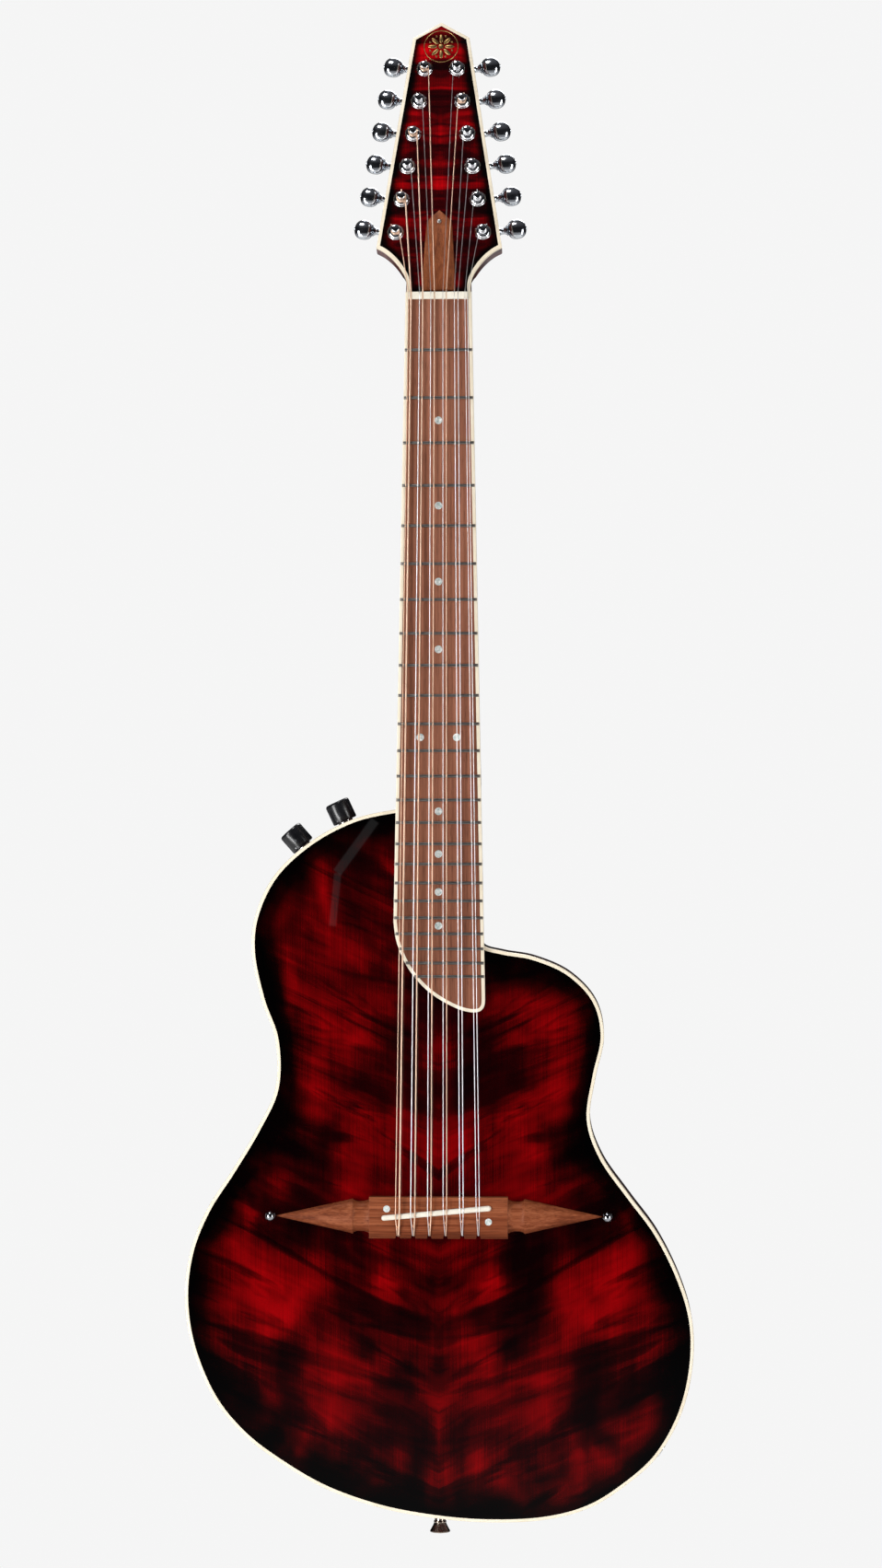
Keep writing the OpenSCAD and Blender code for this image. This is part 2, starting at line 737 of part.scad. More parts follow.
module output_jack() color([0.74, 0.74, 0.76]) at_rim(jack_at) difference() {
    union() {
        translate([0, 0, -30]) cylinder(h = 30, r = 6);
        translate([0, 0, -1.2]) cylinder(h = 2, r = 7.5);
    }
    translate([0, 0, -31]) cylinder(h = 33, r = jack_bore_r);
}

module strap_button() color([0.80, 0.80, 0.82]) at_rim(strap_at) rotate_extrude() polygon([
    [1.6, -0.2], [6, -0.2], [6, 1], [3.9, 2.4], [3.85, 6], [4.3, 7], [5.5, 10], [7.25, 13.1],
    [7.25, 14.1], [3.4, 14.1], [1.6, 12.3]
]);

module strap_screw() color([0.72, 0.72, 0.74]) at_rim(strap_at) rotate_extrude() polygon([
    [0, -20], [1.6, -20], [1.6, 12.3], [3.4, 14.1], [3, 14.7], [0, 15.1]
]);

body_shell();
soundboard_bass();
soundboard_treble();
body_binding();
top_braces();
neck();
truss_rod();
fingerboard();
fingerboard_binding();
frets();
pearl_dots();
nut();
headstock_veneer();
headstock_binding();
headstock_emblem();
truss_rod_cover();
bridge();
saddle();
bridge_studs();
wound_strings();
plain_strings();
string_balls();
piezo_pickup();
preamp_board();
battery();
battery_cover();
wiring();
potentiometers();
output_jack();
strap_button();
strap_screw();
tuner_housings();
tuner_bushings();
small_screws();
volume_knob();
tone_knob();
tuner_button_b1();
tuner_button_b2();
tuner_button_b3();
tuner_button_b4();
tuner_button_b5();
tuner_button_b6();
tuner_button_t1();
tuner_button_t2();
tuner_button_t3();
tuner_button_t4();
tuner_button_t5();
tuner_button_t6();
tuner_post_b1();
tuner_post_b2();
tuner_post_b3();
tuner_post_b4();
tuner_post_b5();
tuner_post_b6();
tuner_post_t1();
tuner_post_t2();
tuner_post_t3();
tuner_post_t4();
tuner_post_t5();
tuner_post_t6();
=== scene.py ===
import bpy
import bmesh
import math
from mathutils import Matrix, Vector


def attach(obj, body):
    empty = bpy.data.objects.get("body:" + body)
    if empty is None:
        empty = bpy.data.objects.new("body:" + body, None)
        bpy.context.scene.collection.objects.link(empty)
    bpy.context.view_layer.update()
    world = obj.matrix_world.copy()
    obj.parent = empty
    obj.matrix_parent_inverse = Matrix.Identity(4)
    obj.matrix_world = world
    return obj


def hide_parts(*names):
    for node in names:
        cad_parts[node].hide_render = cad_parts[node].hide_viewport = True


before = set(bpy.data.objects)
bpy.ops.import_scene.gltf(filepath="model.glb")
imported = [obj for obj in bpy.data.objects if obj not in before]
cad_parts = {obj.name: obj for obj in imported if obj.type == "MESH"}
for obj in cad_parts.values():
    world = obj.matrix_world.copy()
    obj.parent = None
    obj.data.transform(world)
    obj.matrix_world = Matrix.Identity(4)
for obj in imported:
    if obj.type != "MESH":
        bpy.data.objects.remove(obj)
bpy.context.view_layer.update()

MM = 0.001
ROOT = "instrument"

# ---------------------------------------------------------------- outlines, in millimetres
BODY = [
    (-32, -364), (-62, -371), (-92, -387), (-117, -410), (-131, -438), (-134, -466), (-127, -500),
    (-117, -529), (-117, -563), (-130, -592), (-148, -622), (-166, -650), (-178, -680), (-182, -713),
    (-177, -748), (-162, -784), (-140, -811), (-112, -832), (-80, -850), (-42, -863), (-4, -870),
    (35, -873), (75, -871), (108, -862), (136, -844), (157, -824), (173, -795), (181, -762),
    (181, -729), (172, -698), (156, -666), (136, -639), (117, -612), (108, -585), (112, -555),
    (118, -526), (112, -500), (93, -480), (68, -469), (46, -465), (31, -460), (30, -445),
    (30, -420), (30, -395), (24, -375), (8, -365), (-12, -363)]
BOARD_END = [(-32.1, -444), (-30.5, -456), (-26, -469), (-19, -481), (-9, -492), (2, -500),
             (14, -506), (23, -508.3), (29.5, -507.6), (32.6, -504), (33.2, -499)]
THROAT = [(23.3, -3), (22.7, 4), (24, 11), (27.3, 17.5), (32.5, 24.5), (39, 30.5), (45, 34)]
SHOULDER, TIP = (20.5, 197), (0, 209)
COVER = [(12, 0.6), (11.2, 18), (10.2, 36), (9, 53), (5, 57.5), (0, 62),
         (-5, 57.5), (-9, 53), (-10.2, 36), (-11.2, 18), (-12, 0.6)]
# nut x, saddle x, radius, side, row, course, wound
STRINGS = [
    (-21.3, -30.5, 0.30, -1, 0, 0, 1), (-19.5, -27.7, 0.60, -1, 1, 0, 1),
    (-13.4, -19.7, 0.22, -1, 2, 1, 0), (-11.1, -16.7, 0.48, -1, 3, 1, 1),
    (-5.4, -7.6, 0.18, -1, 4, 2, 0), (-2.8, -5.1, 0.40, -1, 5, 2, 1),
    (3.2, 3.5, 0.15, 1, 5, 3, 0), (5.6, 6.0, 0.34, 1, 4, 3, 1),
    (11.3, 15.3, 0.18, 1, 3, 4, 0), (14.0, 17.8, 0.18, 1, 2, 4, 0),
    (18.9, 27.0, 0.15, 1, 1, 5, 0), (20.7, 29.3, 0.15, 1, 0, 5, 0)]
NOTCH_X = [-29, -18, -6.5, 5, 17, 28.5]
BALL_X = [-29.1, -18.3, -6.6, 4.4, 16.2, 28]
NUT_L, BOARD_T, BIND_W, VENEER = 5.2, 6.0, 2.4, 2.5
BRIDGE_H, SADDLE_H, BRIDGE_Z = 8.5, 11.0, -654.3
SCALE = 643.8   # string length
TILT = math.radians(15)

# Tuners: the first post's place on the face and the steps to the next, the angle they are turned by,
# the worm shaft's place in the tuner's own frame, and the button's middle along that shaft
POST_X, POST_X_STEP, POST_U, POST_PITCH = 31.3, 3.92, 45.5, 25.4
OUT = math.radians(8.55)
WORM_Y, WORM_U = 18.5, 7
BUTTON_X = 25.1

# Rim fittings: their depth, then x, z and outward angle of each
RIM_Y = 27
KNOBS = (("volume_knob", (-98, -391, -41.4)), ("tone_knob", (-68, -373.2, -25)))
JACK, STRAP = (157.5, -823.7, 122.5), (0, -870.3, 180)
# Bridge studs, battery cover, the headstock's rosette, and the shell's front and back depths
STUD_X = (-120.5, 120.5)
BATTERY_X, BATTERY_Z, BATTERY_HALF_W, BATTERY_HALF_H = -100, -730, 35.8, 25.8
ROSETTE_U = 190
SHELL_FRONT, SHELL_BACK = 6, 50


def curve_pt(a, b, c, d, t):
    return tuple((2 * b[i] + (c[i] - a[i]) * t + (2 * a[i] - 5 * b[i] + 4 * c[i] - d[i]) * t * t
                  + (3 * b[i] - a[i] - 3 * c[i] + d[i]) * t ** 3) / 2 for i in range(len(b)))


def closed_curve(p, m):
    n = len(p)
    return [curve_pt(p[i - 1], p[i], p[(i + 1) % n], p[(i + 2) % n], j / m)
            for i in range(n) for j in range(m)]


def open_curve(p, m):
    n = len(p)
    return [curve_pt(p[max(i - 1, 0)], p[i], p[i + 1], p[min(i + 2, n - 1)], j / m)
            for i in range(n - 1) for j in range(m)] + [p[-1]]


def inset(p, d):
    """Moves a counter-clockwise outline inwards by d."""
    n, out = len(p), []
    for i in range(n):
        a, b, c = Vector(p[i - 1]), Vector(p[i]), Vector(p[(i + 1) % n])
        u, v = (b - a).normalized(), (c - b).normalized()
        u, v = Vector((-u.y, u.x)), Vector((-v.y, v.x))
        q = b + d * (u + v) / (1 + u.dot(v))
        out.append((q.x, q.y))
    return out


def inset_open(p, d):
    """Moves an open line sideways by d, its ends square to its first and last segments."""
    out = inset(p, d)
    for end, a, b in ((0, p[0], p[1]), (-1, p[-2], p[-1])):
        u = (Vector(b) - Vector(a)).normalized()
        q = Vector(p[end]) + d * Vector((-u.y, u.x))
        out[end] = (q.x, q.y)
    return out


def board_half(z):
    return 23.65 - 0.01905 * z


def fret_z(k):
    return -SCALE * (1 - 2 ** (-k / 12))


SADDLE_X, SADDLE_Z, SADDLE_RUN, SADDLE_RISE = -38.7, -654.8, 74.4, 7


def saddle_z(x):
    """Where the slanted saddle is at a string."""
    return SADDLE_Z + (x - SADDLE_X) * SADDLE_RISE / SADDLE_RUN


body_out = closed_curve(BODY, 8)
board_out = [(-board_half(NUT_L), NUT_L)] + open_curve(BOARD_END, 6) + [(board_half(NUT_L), NUT_L)]
throat = open_curve(THROAT, 5)
del throat[-2]
head_out = throat + [SHOULDER, TIP, (-SHOULDER[0], SHOULDER[1])] + [(-x, u) for x, u in throat[::-1]]


def shift(x, y, z):
    return Matrix.Translation((x, y, z))


def turn(degrees, axis):
    return Matrix.Rotation(math.radians(degrees), 4, axis)


def arc(start, step, count):
    """Angles in radians from start, count of them, step degrees apart."""
    return [math.radians(start + step * i) for i in range(count)]


HEAD = shift(0, 0, NUT_L) @ Matrix.Rotation(-TILT, 4, "X")


def tuner_matrix(side, k):
    """The tuner's own frame: X outboard, Y behind the face, Z towards the tip."""
    flip = Matrix.Diagonal((side, 1, 1, 1))
    post = shift(POST_X - POST_X_STEP * k, 0, POST_U + POST_PITCH * k)
    return HEAD @ flip @ post @ Matrix.Rotation(-OUT, 4, "Y")


def rim_matrix(x, z, degrees):
    """A rim fitting's own frame: Z points out of the rim."""
    return shift(x, RIM_Y, z) @ turn(degrees, "Y")


FRONT = turn(90, "X")      # local Z comes out of the face
SIDEWAYS = turn(90, "Y")   # local Z points along X


# ---------------------------------------------------------------- mesh building
def level(outline, d, y, move):
    """An outline in X and Z, moved sideways by d and put at depth y."""
    return [(x, y, z) for x, z in (move(outline, d) if abs(d) > 1e-9 else outline)]


class Shape:
    """Collects rings, revolves and tubes into one mesh, in millimetres."""

    def __init__(self):
        self.v, self.f = [], []

    def add(self, verts, faces, m=None):
        base = len(self.v)
        self.v += [tuple(m @ Vector(p)) if m else tuple(p) for p in verts]
        self.f += [[i + base for i in f] for f in faces]

    def loft(self, rings, m=None, around=False):
        """Skins closed rings of equal length, capped, or with around the last joined to the first."""
        n = len(rings[0])
        verts = [p for r in rings for p in r]
        faces = []
        last = len(rings) if around else len(rings) - 1
        for i in range(last):
            a, b = i * n, ((i + 1) % len(rings)) * n
            for j in range(n):
                k = (j + 1) % n
                faces.append([a + j, a + k, b + k, b + j])
        if not around:
            faces.append(list(range(n))[::-1])
            faces.append(list(range((len(rings) - 1) * n, len(rings) * n)))
        self.add(verts, faces, m)

    def revolve(self, profile, m=None, n=40):
        """profile is (radius, height); a radius of 0 at either end closes the shape."""
        verts, faces, rows = [], [], []
        for r, h in profile:
            if r < 1e-6:
                rows.append([len(verts)])
                verts.append((0, 0, h))
            else:
                rows.append(list(range(len(verts), len(verts) + n)))
                verts += [(r * math.cos(2 * math.pi * i / n), r * math.sin(2 * math.pi * i / n), h)
                          for i in range(n)]
        for a, b in zip(rows, rows[1:]):
            for i in range(n):
                j = (i + 1) % n
                if len(a) == 1 and len(b) > 1:
                    faces.append([a[0], b[j], b[i]])
                elif len(b) == 1 and len(a) > 1:
                    faces.append([a[i], a[j], b[0]])
                elif len(a) > 1:
                    faces.append([a[i], a[j], b[j], b[i]])
        if len(rows[0]) > 1 and len(rows[-1]) > 1:
            if profile[0] != profile[-1]:
                a, b = rows[-1], rows[0]
                for i in range(n):
                    j = (i + 1) % n
                    faces.append([a[i], a[j], b[j], b[i]])
        self.add(verts, faces, m)

    def tube(self, path, r, n=10, m=None):
        path = [Vector(p) for p in path]
        t0 = (path[1] - path[0]).normalized()
        side = t0.orthogonal().normalized()
        rings = []
        for i, p in enumerate(path):
            a, b = path[max(i - 1, 0)], path[min(i + 1, len(path) - 1)]
            t = (b - a).normalized()
            side = (side - t * side.dot(t)).normalized()
            up = t.cross(side)
            turns = [2 * math.pi * j / n for j in range(n)]
            rings.append([tuple(p + r * (math.cos(a) * side + math.sin(a) * up)) for a in turns])
        self.loft(rings, m)

    def slab(self, outline, steps, m=None):
        """A plate from an outline in X and Z: steps are (inset, y) from one face to the other."""
        self.loft([level(outline, d, y, inset) for d, y in steps], m)

    def strip(self, outline, section, m=None, closed=True):
        """Sweeps a section of (inset, y) points along an outline, or along an open line."""
        rings = [level(outline, d, y, inset if closed else inset_open) for d, y in section]
        if closed:
            self.loft(rings, m, around=True)
        else:
            cols = [[r[i] for r in rings] for i in range(len(outline))]
            self.loft(cols, m)

    def make(self, name, mat, body=ROOT, slot=None, gone=(), sharp=32):
        me = bpy.data.meshes.new(name)
        me.from_pydata([(x * MM, y * MM, z * MM) for x, y, z in self.v], [], self.f)
        bm = bmesh.new()
        bm.from_mesh(me)
        bmesh.ops.recalc_face_normals(bm, faces=bm.faces)
        bm.to_mesh(me)
        bm.free()
        return finish_piece(name, me, mat, body, slot, gone, sharp)


def finish_piece(name, me, mat, body=ROOT, slot=None, gone=(), sharp=32):
    for p in me.polygons:
        p.use_smooth = True
    me.set_sharp_from_angle(angle=math.radians(sharp))
    me.materials.append(mat)
    ob = bpy.data.objects.new(name, me)
    bpy.context.scene.collection.objects.link(ob)
    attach(ob, body)
    if gone:
        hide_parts(*gone)
    return ob


def edge_distance(x, z, outline):
    best = 1e9
    for i in range(len(outline)):
        ax, az = outline[i - 1]
        bx, bz = outline[i]
        dx, dz = bx - ax, bz - az
        t = max(0.0, min(1.0, ((x - ax) * dx + (z - az) * dz) / (dx * dx + dz * dz + 1e-9)))
        best = min(best, (x - ax - t * dx) ** 2 + (z - az - t * dz) ** 2)
    return math.sqrt(best)


GRID_SHIFT = 0.37   # keeps the grid's cuts off the outline's own points


def plate_with_edge(name, outline, y0, y1, step, mat, m=None, x_from=None, **kw):
    """A flat plate cut into a fine grid, with each point's distance to the outline stored on it."""
    bm = bmesh.new()
    bm.faces.new([bm.verts.new((x, y0, z)) for x, z in outline])
    xs, zs = [p[0] for p in outline], [p[1] for p in outline]

    def cut(co, no, **side):
        geom = bm.verts[:] + bm.edges[:] + bm.faces[:]
        bmesh.ops.bisect_plane(bm, geom=geom, plane_co=co, plane_no=no, **side)

    if x_from is not None:
        cut((0, 0, 0), (-x_from, 0, 0), clear_outer=True)
    for i in range(int(min(xs) // step), int(max(xs) // step) + 1):
        cut((i * step + GRID_SHIFT, 0, 0), (1, 0, 0))
    for i in range(int(min(zs) // step), int(max(zs) // step) + 1):
        cut((0, 0, i * step + GRID_SHIFT), (0, 0, 1))
    made = bmesh.ops.extrude_face_region(bm, geom=bm.faces[:])
    for v in made["geom"]:
        if isinstance(v, bmesh.types.BMVert):
            v.co.y = y1
    bmesh.ops.recalc_face_normals(bm, faces=bm.faces)
    me = bpy.data.meshes.new(name)
    coarse = outline[::2]
    dist = [edge_distance(v.co.x, v.co.z, coarse) for v in bm.verts]
    for v in bm.verts:
        p = (m @ v.co) if m else v.co
        v.co = p * MM
    bm.to_mesh(me)
    bm.free()
    attr = me.attributes.new("edge_mm", "FLOAT", "POINT")
    attr.data.foreach_set("value", dist)
    return finish_piece(name, me, mat, **kw)


# ---------------------------------------------------------------- materials
def new_mat(name):
    mat = bpy.data.materials.new(name)
    mat.use_nodes = True
    nt = mat.node_tree
    return mat, nt, nt.nodes["Principled BSDF"]


def node(nt, kind, inputs=None, **props):
    n = nt.nodes.new(kind)
    for k, v in props.items():
        setattr(n, k, v)
    for k, v in (inputs or {}).items():
        if isinstance(v, bpy.types.NodeSocket):
            nt.links.new(v, n.inputs[k])
        else:
            n.inputs[k].default_value = v
    return n


def coords(nt, scale=(1, 1, 1)):
    place = node(nt, "ShaderNodeTexCoord").outputs["Object"]
    return node(nt, "ShaderNodeMapping", {"Vector": place, "Scale": scale}).outputs[0]


def noise(nt, vec, scale, detail=4, rough=0.5, dist=0.0):
    return node(nt, "ShaderNodeTexNoise", {"Vector": vec, "Scale": scale, "Detail": detail,
                                           "Roughness": rough, "Distortion": dist}).outputs["Fac"]


def ramp(nt, fac, stops):
    r = node(nt, "ShaderNodeValToRGB", {"Fac": fac})
    el = r.color_ramp.elements
    while len(el) < len(stops):
        el.new(0.5)
    for e, (pos, col) in zip(el, stops):
        e.position = pos
        e.color = (*col, 1) if len(col) == 3 else col
    return r.outputs["Color"]


def grey(nt, fac, lo, hi, a=0.0, b=1.0):
    return ramp(nt, fac, [(lo, (a, a, a)), (hi, (b, b, b))])


def mix(nt, fac, a, b, mode="MIX"):
    n = node(nt, "ShaderNodeMix", data_type="RGBA", blend_type=mode)
    for key, v in (("Factor", fac), ("A", a), ("B", b)):
        s = next(i for i in n.inputs
                 if i.name == key and i.enabled and (i.type == "RGBA" or key == "Factor"))
        if isinstance(v, bpy.types.NodeSocket):
            nt.links.new(v, s)
        else:
            s.default_value = v if key == "Factor" else (*v, 1)
    return next(o for o in n.outputs if o.type == "RGBA")


def maths(nt, op, a, b=None, c=None):
    n = node(nt, "ShaderNodeMath", operation=op)
    for i, v in enumerate((a, b, c)):
        if isinstance(v, bpy.types.NodeSocket):
            nt.links.new(v, n.inputs[i])
        elif v is not None:
            n.inputs[i].default_value = v
    return n.outputs[0]


def bump(nt, bsdf, height, strength, dist=0.0002):
    b = node(nt, "ShaderNodeBump", {"Height": height, "Strength": strength, "Distance": dist})
    nt.links.new(b.outputs[0], bsdf.inputs["Normal"])


def feed(nt, bsdf, **kw):
    """Links outputs to the shader's sockets; underscores stand for spaces."""
    for k, v in kw.items():
        nt.links.new(v, bsdf.inputs[k.replace("_", " ")])


def settings(bsdf, **kw):
    for k, v in kw.items():
        bsdf.inputs[k.replace("_", " ")].default_value = v


def wood(name, dark, mid, light, along="z", fine=1.0, gloss=0.45, coat=0.0, pores=0.5, spec=0.3):
    """Straight-grained wood: growth bands, fine grain lines and short dark pores along one axis."""
    mat, nt, bsdf = new_mat(name)

    def grain(across, long, detail, rough, dist):
        sc = {"x": (long, across, across), "z": (across, across, long)}[along]
        return noise(nt, coords(nt, sc), 1.0, detail, rough, dist)
    band = grain(55 * fine, 2.5, 3, 0.5, 0.8)
    line = grain(420 * fine, 6.0, 4, 0.6, 0.3)
    hair = grain(1500 * fine, 30.0, 3, 0.6, 0.0)
    pore = grain(2300 * fine, 75.0, 2, 0.5, 0.0)
    fac = maths(nt, "ADD", maths(nt, "MULTIPLY", band, 0.40), maths(nt, "MULTIPLY", line, 0.36))
    fac = maths(nt, "ADD", fac, maths(nt, "MULTIPLY", hair, 0.24))
    col = ramp(nt, fac, [(0.40, dark), (0.50, mid), (0.60, light)])
    spots = grey(nt, pore, 0.60, 0.68, 0.0, pores)
    col = mix(nt, spots, col, tuple(c * 0.35 for c in dark))
    feed(nt, bsdf, Base_Color=col, Roughness=grey(nt, fac, 0.35, 0.65, gloss + 0.08, gloss - 0.05))
    settings(bsdf, Coat_Weight=coat, Coat_Roughness=0.06, Specular_IOR_Level=spec)
    bump(nt, bsdf, maths(nt, "SUBTRACT", fac, spots), 0.3)
    return mat


def flamed(name, edge_at=34.0, bands=1.0, lean=24, flat=1.0, gain=1.0):
    """Dyed figured maple under lacquer, dark towards its edge, mirrored about the centre joint."""
    mat, nt, bsdf = new_mat(name)
    tc = node(nt, "ShaderNodeTexCoord")
    sep = node(nt, "ShaderNodeSeparateXYZ", {"Vector": tc.outputs["Object"]})
    x = maths(nt, "ABSOLUTE", sep.outputs[0])
    z = sep.outputs[2]
    ca, sa = math.cos(math.radians(lean)), math.sin(math.radians(lean))
    along = maths(nt, "ADD", maths(nt, "MULTIPLY", x, ca), maths(nt, "MULTIPLY", z, sa))
    across = maths(nt, "SUBTRACT", maths(nt, "MULTIPLY", z, ca), maths(nt, "MULTIPLY", x, sa))

    def grid(u, v, su, sv, shift=0.0):
        return node(nt, "ShaderNodeCombineXYZ", {"X": maths(nt, "MULTIPLY", u, su), "Y": shift,
                                                 "Z": maths(nt, "MULTIPLY", v, sv)}).outputs[0]
    streak = noise(nt, grid(along, across, 7.0 * bands, 46 * bands), 1.0, 3, 0.55, 1.1)
    curl = noise(nt, grid(along, across, 16 * bands, 80 * bands, 3.0), 1.0, 2, 0.5, 0.8)
    cloud = noise(nt, grid(x, z, 17, 14, 7.0), 1.0, 2, 0.5, 0.7)
    block = noise(nt, grid(x, z, 30, 8, 11.0), 1.0, 2, 0.45, 0.4)
    fibre = noise(nt, grid(x, z, 1500, 14, 5.0), 1.0, 4, 0.7)
    odd = noise(nt, grid(sep.outputs[0], z, 15, 11, 19.0), 1.0, 2, 0.5, 0.5)
    ridge = maths(nt, "ABSOLUTE", maths(nt, "SUBTRACT", streak, 0.5))
    ridge = maths(nt, "MAXIMUM", maths(nt, "SUBTRACT", 1.0, maths(nt, "MULTIPLY", ridge, 9.0)), 0.0)
    ridge = maths(nt, "MULTIPLY", ridge, grey(nt, cloud, 0.42, 0.62))
    parts = ((streak, 0.24 * flat), (curl, 0.09 * flat), (cloud, 0.23), (block, 0.17), (odd, 0.26),
             (fibre, 0.11))
    lum = 0.0
    for part, w in parts:
        lum = maths(nt, "ADD", maths(nt, "MULTIPLY", part, w / sum(q for _, q in parts)), lum)
    lum = maths(nt, "ADD", lum, maths(nt, "MULTIPLY", ridge, 0.05))
    stops = [(0.425, (0.0020, 0.0, 0.0001)), (0.475, (0.010, 0.0, 0.0002)),
             (0.515, (0.036, 0.0, 0.0003)), (0.555, (0.095, 0.0001, 0.0006)),
             (0.61, (0.20, 0.0003, 0.0012)), (0.68, (0.29, 0.0006, 0.0018))]
    col = ramp(nt, lum, [(at, tuple(c * gain for c in rgb)) for at, rgb in stops])
    edge = node(nt, "ShaderNodeAttribute", attribute_name="edge_mm").outputs["Fac"]
    wob = maths(nt, "ADD", edge, maths(nt, "MULTIPLY", maths(nt, "SUBTRACT", cloud, 0.5), edge_at * 1.1))
    burst = ramp(nt, maths(nt, "DIVIDE", wob, edge_at),
                 [(at, (v, v, v)) for at, v in ((0.06, 0.0), (0.35, 0.07), (0.75, 0.72), (1.0, 1.0))])
    col = mix(nt, 1.0, col, burst, "MULTIPLY")
    feed(nt, bsdf, Base_Color=mix(nt, grey(nt, fibre, 0.38, 0.56, 0.16, 0.0), col, (0.002, 0.0, 0.0)))
    settings(bsdf, Roughness=0.5, Specular_IOR_Level=0.0, Coat_Weight=1.0, Coat_Roughness=0.012, IOR=1.5)
    bump(nt, bsdf, fibre, 0.05, 0.00005)
    return mat


def plastic(name, base, other, rough=0.3, coat=0.0, scale=60.0, bumpy=0.03):
    """Two close colours clouded together, with a slightly uneven gloss."""
    mat, nt, bsdf = new_mat(name)
    v = coords(nt)
    col = mix(nt, grey(nt, noise(nt, v, scale, 4, 0.6), 0.3, 0.75), base, other)
    shine = grey(nt, noise(nt, v, scale * 7, 3), 0.2, 0.8, rough - 0.06, rough + 0.08)
    feed(nt, bsdf, Base_Color=col, Roughness=shine)
    settings(bsdf, Coat_Weight=coat, Coat_Roughness=0.05)
    bump(nt, bsdf, noise(nt, v, scale * 20, 3), bumpy, 0.0001)
    return mat


def metal(name, col, rough=0.08, smear=0.10, scale=90.0, tint=None):
    """Metal with faint smears; tint is its colour where it is dulled."""
    mat, nt, bsdf = new_mat(name)
    v = coords(nt)
    n1 = noise(nt, v, scale, 5, 0.6)
    dulled = mix(nt, grey(nt, n1, 0.35, 0.8), col, tint or tuple(c * 0.82 for c in col))
    shine = grey(nt, noise(nt, v, scale * 3, 4), 0.35, 0.85, rough, rough + smear)
    feed(nt, bsdf, Base_Color=dulled, Roughness=shine)
    settings(bsdf, Metallic=1.0)
    bump(nt, bsdf, n1, 0.02, 0.0001)
    return mat


def wound_metal(name, col):
    """Round-wound string: fine rings of bronze wire along the string, with painted shade in the grooves
    between the turns, tarnished in patches.
    """
    mat, nt, bsdf = new_mat(name)
    w = node(nt, "ShaderNodeTexWave", {"Vector": coords(nt), "Scale": 1100.0, "Distortion": 0.0},
             bands_direction="Z").outputs["Fac"]
    n1 = noise(nt, coords(nt, (40, 40, 12)), 1.0, 4)
    col1 = mix(nt, grey(nt, n1, 0.3, 0.8), col, tuple(c * 0.62 for c in col))
    # the dark brown mixed in at the wave's low points is painted shade in the grooves between the turns
    feed(nt, bsdf, Base_Color=mix(nt, grey(nt, w, 0.0, 0.5, 0.2, 0.0), col1, (0.10, 0.04, 0.02)))
    settings(bsdf, Metallic=1.0, Roughness=0.34)
    bump(nt, bsdf, w, 0.4, 0.0001)
    return mat


M = {
    "top": flamed("red_flame_top"),
    "veneer": flamed("red_flame_veneer", edge_at=7.0, bands=1.5, lean=0, flat=2.4, gain=3.0),
    "shell": wood("dyed_mahogany_body",
                  (0.020, 0.002, 0.002), (0.062, 0.006, 0.005), (0.125, 0.013, 0.010),
                  "z", 0.7, 0.32, 1.0, 0.6),
    "neck": wood("dyed_mahogany_neck",
                 (0.020, 0.003, 0.003), (0.068, 0.010, 0.008), (0.135, 0.022, 0.015),
                 "z", 1.0, 0.32, 1.0, 0.6),
    "board": wood("rosewood_board", (0.120, 0.040, 0.022), (0.198, 0.073, 0.041), (0.275, 0.110, 0.066),
                  "z", 1.0, 0.50, 0.0, 0.6, 0.12),
    "bridge": wood("rosewood_bridge",
                   (0.066, 0.013, 0.004), (0.142, 0.034, 0.012), (0.240, 0.072, 0.030),
                   "x", 1.0, 0.42, 0.0, 0.6, 0.08),
    "cover": wood("rosewood_cover", (0.105, 0.026, 0.008), (0.210, 0.058, 0.019), (0.310, 0.098, 0.038),
                  "z", 1.0, 0.42, 0.0, 0.6, 0.15),
    "spruce": wood("spruce", (0.42, 0.27, 0.14), (0.60, 0.43, 0.25), (0.72, 0.56, 0.36), "x", 1.5, 0.6),
    "cream": plastic("cream_binding", (0.65, 0.565, 0.425), (0.735, 0.665, 0.54), 0.32, 0.3, 35.0),
    "bone": plastic("polished_bone", (0.58, 0.53, 0.44), (0.66, 0.62, 0.54), 0.35, 0.1, 150.0),
    "pearl": plastic("pearl_shell", (0.22, 0.31, 0.30), (0.80, 0.76, 0.74), 0.15, 0.5, 620.0),
    "black": plastic("black_knob", (0.004, 0.004, 0.005), (0.010, 0.010, 0.012), 0.22, 0.0, 120.0, 0.04),
    "chrome": metal("chrome", (0.80, 0.81, 0.84), 0.06, 0.08),
    "button_chrome": metal("button_chrome", (0.60, 0.63, 0.67), 0.10, 0.10),
    "strap_metal": metal("smoked_chrome", (0.30, 0.25, 0.21), 0.08, 0.1),
    "dark_chrome": metal("dark_chrome", (0.34, 0.35, 0.38), 0.07, 0.1),
    # Frets: nickel silver painted far darker than the real metal, as painted shade for the dark lines the
    # frets show
    "fret": metal("nickel_silver_painted_dark", (0.17, 0.16, 0.15), 0.34, 0.12, 150.0),
    "steel_wire": metal("plain_steel_wire", (0.93, 0.93, 0.95), 0.30, 0.1, 200.0),
    "bronze": wound_metal("phosphor_bronze", (0.97, 0.68, 0.50)),
    "gilt": metal("aged_gilt", (0.42, 0.28, 0.11), 0.34, 0.2, 300.0, (0.20, 0.11, 0.04)),
    "brass": metal("brass_balls", (0.95, 0.52, 0.30), 0.35, 0.1),
    "zinc": metal("plated_steel", (0.66, 0.66, 0.64), 0.22, 0.15),
    "green": plastic("board_resist", (0.02, 0.14, 0.05), (0.03, 0.20, 0.07), 0.3),
    "case": plastic("battery_case", (0.45, 0.45, 0.44), (0.36, 0.36, 0.36), 0.4),
    "wire": plastic("wire_cover", (0.012, 0.012, 0.014), (0.03, 0.03, 0.034), 0.45),
}

